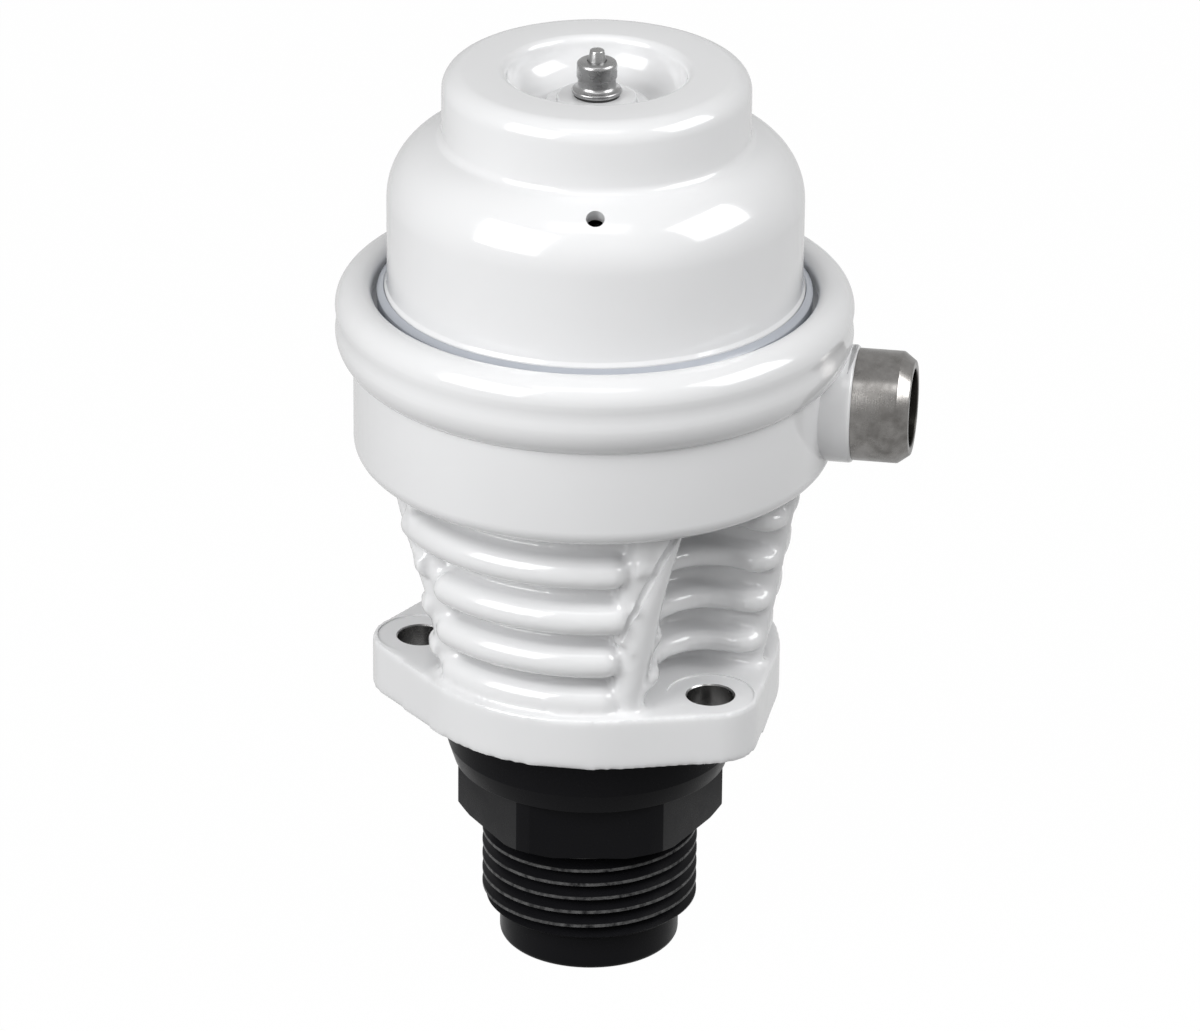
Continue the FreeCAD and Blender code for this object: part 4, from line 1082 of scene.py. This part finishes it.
def makeHexagon():
    # six flats whose corners are turned off, with softened edges
    size = adapter
    low, high = size["hexLow"], size["hexTop"] + past
    hexagon = rod("hexagon", size["acrossFlats"] / math.sqrt(3), low, high, steps=6)
    # a cylinder's first vertex lies along Y, so this turns a flat to the front
    turnAndMove(hexagon, (0, 0, size["hexTurn"] - 30))
    corner, chamfer = size["hexCorner"], size["chamfer"]
    combine(hexagon, lathe("hexagonTurning", [
        (0, low), (corner - size["chamferWidth"], low), (corner, low + chamfer), (corner, high),
        (0, high)], 192), "INTERSECT")
    modify(hexagon, "BEVEL", width=size["edge"] * mm, segments=2, limit_method="ANGLE",
           angle_limit=math.radians(20))
    return hexagon


def makeAdapter():
    size = adapter
    low, bore, seat = size["spigotLow"], size["bore"], size["seatRadius"]
    body = lathe("inletAdapter", rounded([
        (0, low), (size["spigot"], low, size["spigotRound"]), (size["spigot"], size["hexTop"]),
        (size["collarLow"], size["hexTop"], 0.25), (size["collar"], size["collarStraight"], 0.5),
        (size["collar"], 0, 0.25), (size["neck"], 0), (size["neck"], size["neckHigh"], 0.4),
        (0, size["neckHigh"])], 5), 192)
    combine(body, makeHexagon(), "UNION")
    combine(body, makeThread(), "UNION")
    wide, top = bore + size["mouth"] + past, size["neckHigh"] + past
    combine(body, lathe("adapterBore", [
        (0, low - past), (wide, low - past), (bore, low + size["mouth"]),
        (bore, size["seatLow"]), (seat, size["seatLow"]), (seat, top), (0, top)], 192))
    inner, outer, depth = size["sealInner"], size["sealOuter"], size["sealDepth"]
    combine(body, lathe("sealGroove", [
        (inner, -depth), (outer, -depth), (outer, past), (inner, past)], 192))
    return body


inletAdapter = makeAdapter()
place(inletAdapter, "inlet_adapter", angle=28)
print("adapter modelled", len(inletAdapter.data.polygons))


# floor, lights and camera

studio = {
    "floorLevel": -53.1, "aim": (0.0, 0.0, 36.4), "turn": 279.0, "rise": 25.0,
    "distance": 1379.5, "lens": 216.0, "sideStep": 1.39, "roll": 0.57,
    "sensor": 36.0, "farthest": 50,
    "floorSize": 12, "paper": (0.26, 0.26, 0.26, 1), "white": (1, 1, 1, 1), "glow": 1.02,
    "ambient": 0.15, "whiteShare": 0.97,
    "whiteRays": {"Is Camera Ray": 1.0, "Is Glossy Ray": 0.6, "Is Transmission Ray": 1.0},
}

# each softbox: turn from the camera, rise, distance, width, height (metres), power, what sees it
softboxes = {
    "softboxLeft": (-49, 31, 0.9, 0.6, 0.6, 6.6, "all"),
    "softboxRight": (77, 38, 0.9, 0.6, 0.5, 4.8, "all"),
    "frontFill": (5, 40, 1.4, 1.0, 1.0, 5.6, "surfaces"),
    "leftFill": (-80, 12, 1.4, 0.8, 0.8, 1.8, "surfaces"),
    "topBand": (-5, 63, 1.4, 0.8, 0.4, 1.6, "reflections"),
}


def whiteSeen(nodes):
    # how much of the white surroundings a ray sees
    return sum(nodes.add("ShaderNodeLightPath", {}, output=ray) * share
               for ray, share in studio["whiteRays"].items()).clip()


def makeFloor():
    deselect()
    bpy.ops.mesh.primitive_plane_add(size=studio["floorSize"],
                                     location=(0, 0, studio["floorLevel"] * mm))
    floor = added("floor")
    # the camera and reflections see mostly plain white, with a light shadow left in it
    paper = Finish("paper", Roughness=0.9, Base_Color=studio["paper"])
    white = paper.add("ShaderNodeEmission", {}, Color=studio["white"], Strength=studio["glow"])
    paper.show(paper.add("ShaderNodeMixShader", {}, whiteSeen(paper) * studio["whiteShare"],
                         Wire(paper, paper.shader.outputs[0]), white))
    floor.data.materials.append(paper.material)


def makeCamera(aim, facing):
    rise = math.radians(studio["rise"])
    outward = facing * math.cos(rise) + Vector((0, 0, math.sin(rise)))
    deselect()
    bpy.ops.object.camera_add(location=aim + outward * studio["distance"] * mm)
    camera = bpy.context.object
    look = (-outward).to_track_quat("-Z", "Y")
    lean = Quaternion((0, 0, 1), math.radians(studio["roll"]))
    camera.rotation_euler = (look @ lean).to_euler()
    camera.data.lens = studio["lens"]
    camera.data.sensor_width = studio["sensor"]
    camera.data.clip_end = studio["farthest"]
    bpy.context.scene.camera = camera


def makeLamps(aim):
    for name, (turn, up, away, width, height, power, seenBy) in softboxes.items():
        direction = Vector((*polar(math.cos(math.radians(up)), studio["turn"] + turn),
                            math.sin(math.radians(up))))
        bpy.ops.object.light_add(type="AREA", location=aim + direction * away)
        lamp = bpy.context.object
        lamp.name = name
        lamp.data.shape = "RECTANGLE"
        lamp.data.size, lamp.data.size_y = width, height
        lamp.data.energy = power
        lamp.visible_glossy = seenBy != "surfaces"
        lamp.visible_diffuse = seenBy != "reflections"
        lamp.rotation_euler = (-direction).to_track_quat("-Z", "Y").to_euler()


def makeWorld():
    # plain white where it is seen, and a faint even light on the surfaces
    world = bpy.data.worlds.new("studioWorld")
    bpy.context.scene.world = world
    world.use_nodes = True
    world.node_tree.nodes.clear()
    world.node_tree.nodes.new("ShaderNodeOutputWorld")
    sky = NodeSet(world.node_tree)
    ambient = sky.add("ShaderNodeBackground", {}, studio["white"], studio["ambient"])
    backdrop = sky.add("ShaderNodeBackground", {}, studio["white"])
    sky.show(sky.add("ShaderNodeMixShader", {}, whiteSeen(sky), ambient, backdrop))


def makeStudio():
    facing = Vector((*polar(1, studio["turn"]), 0))
    sideways = Vector((-facing.y, facing.x, 0))
    aim = Vector(studio["aim"]) * mm + sideways * studio["sideStep"] * mm
    makeFloor()
    makeCamera(aim, facing)
    makeLamps(aim)
    makeWorld()
    bpy.context.scene.view_settings.view_transform = "Standard"


makeStudio()
print("studio ready")
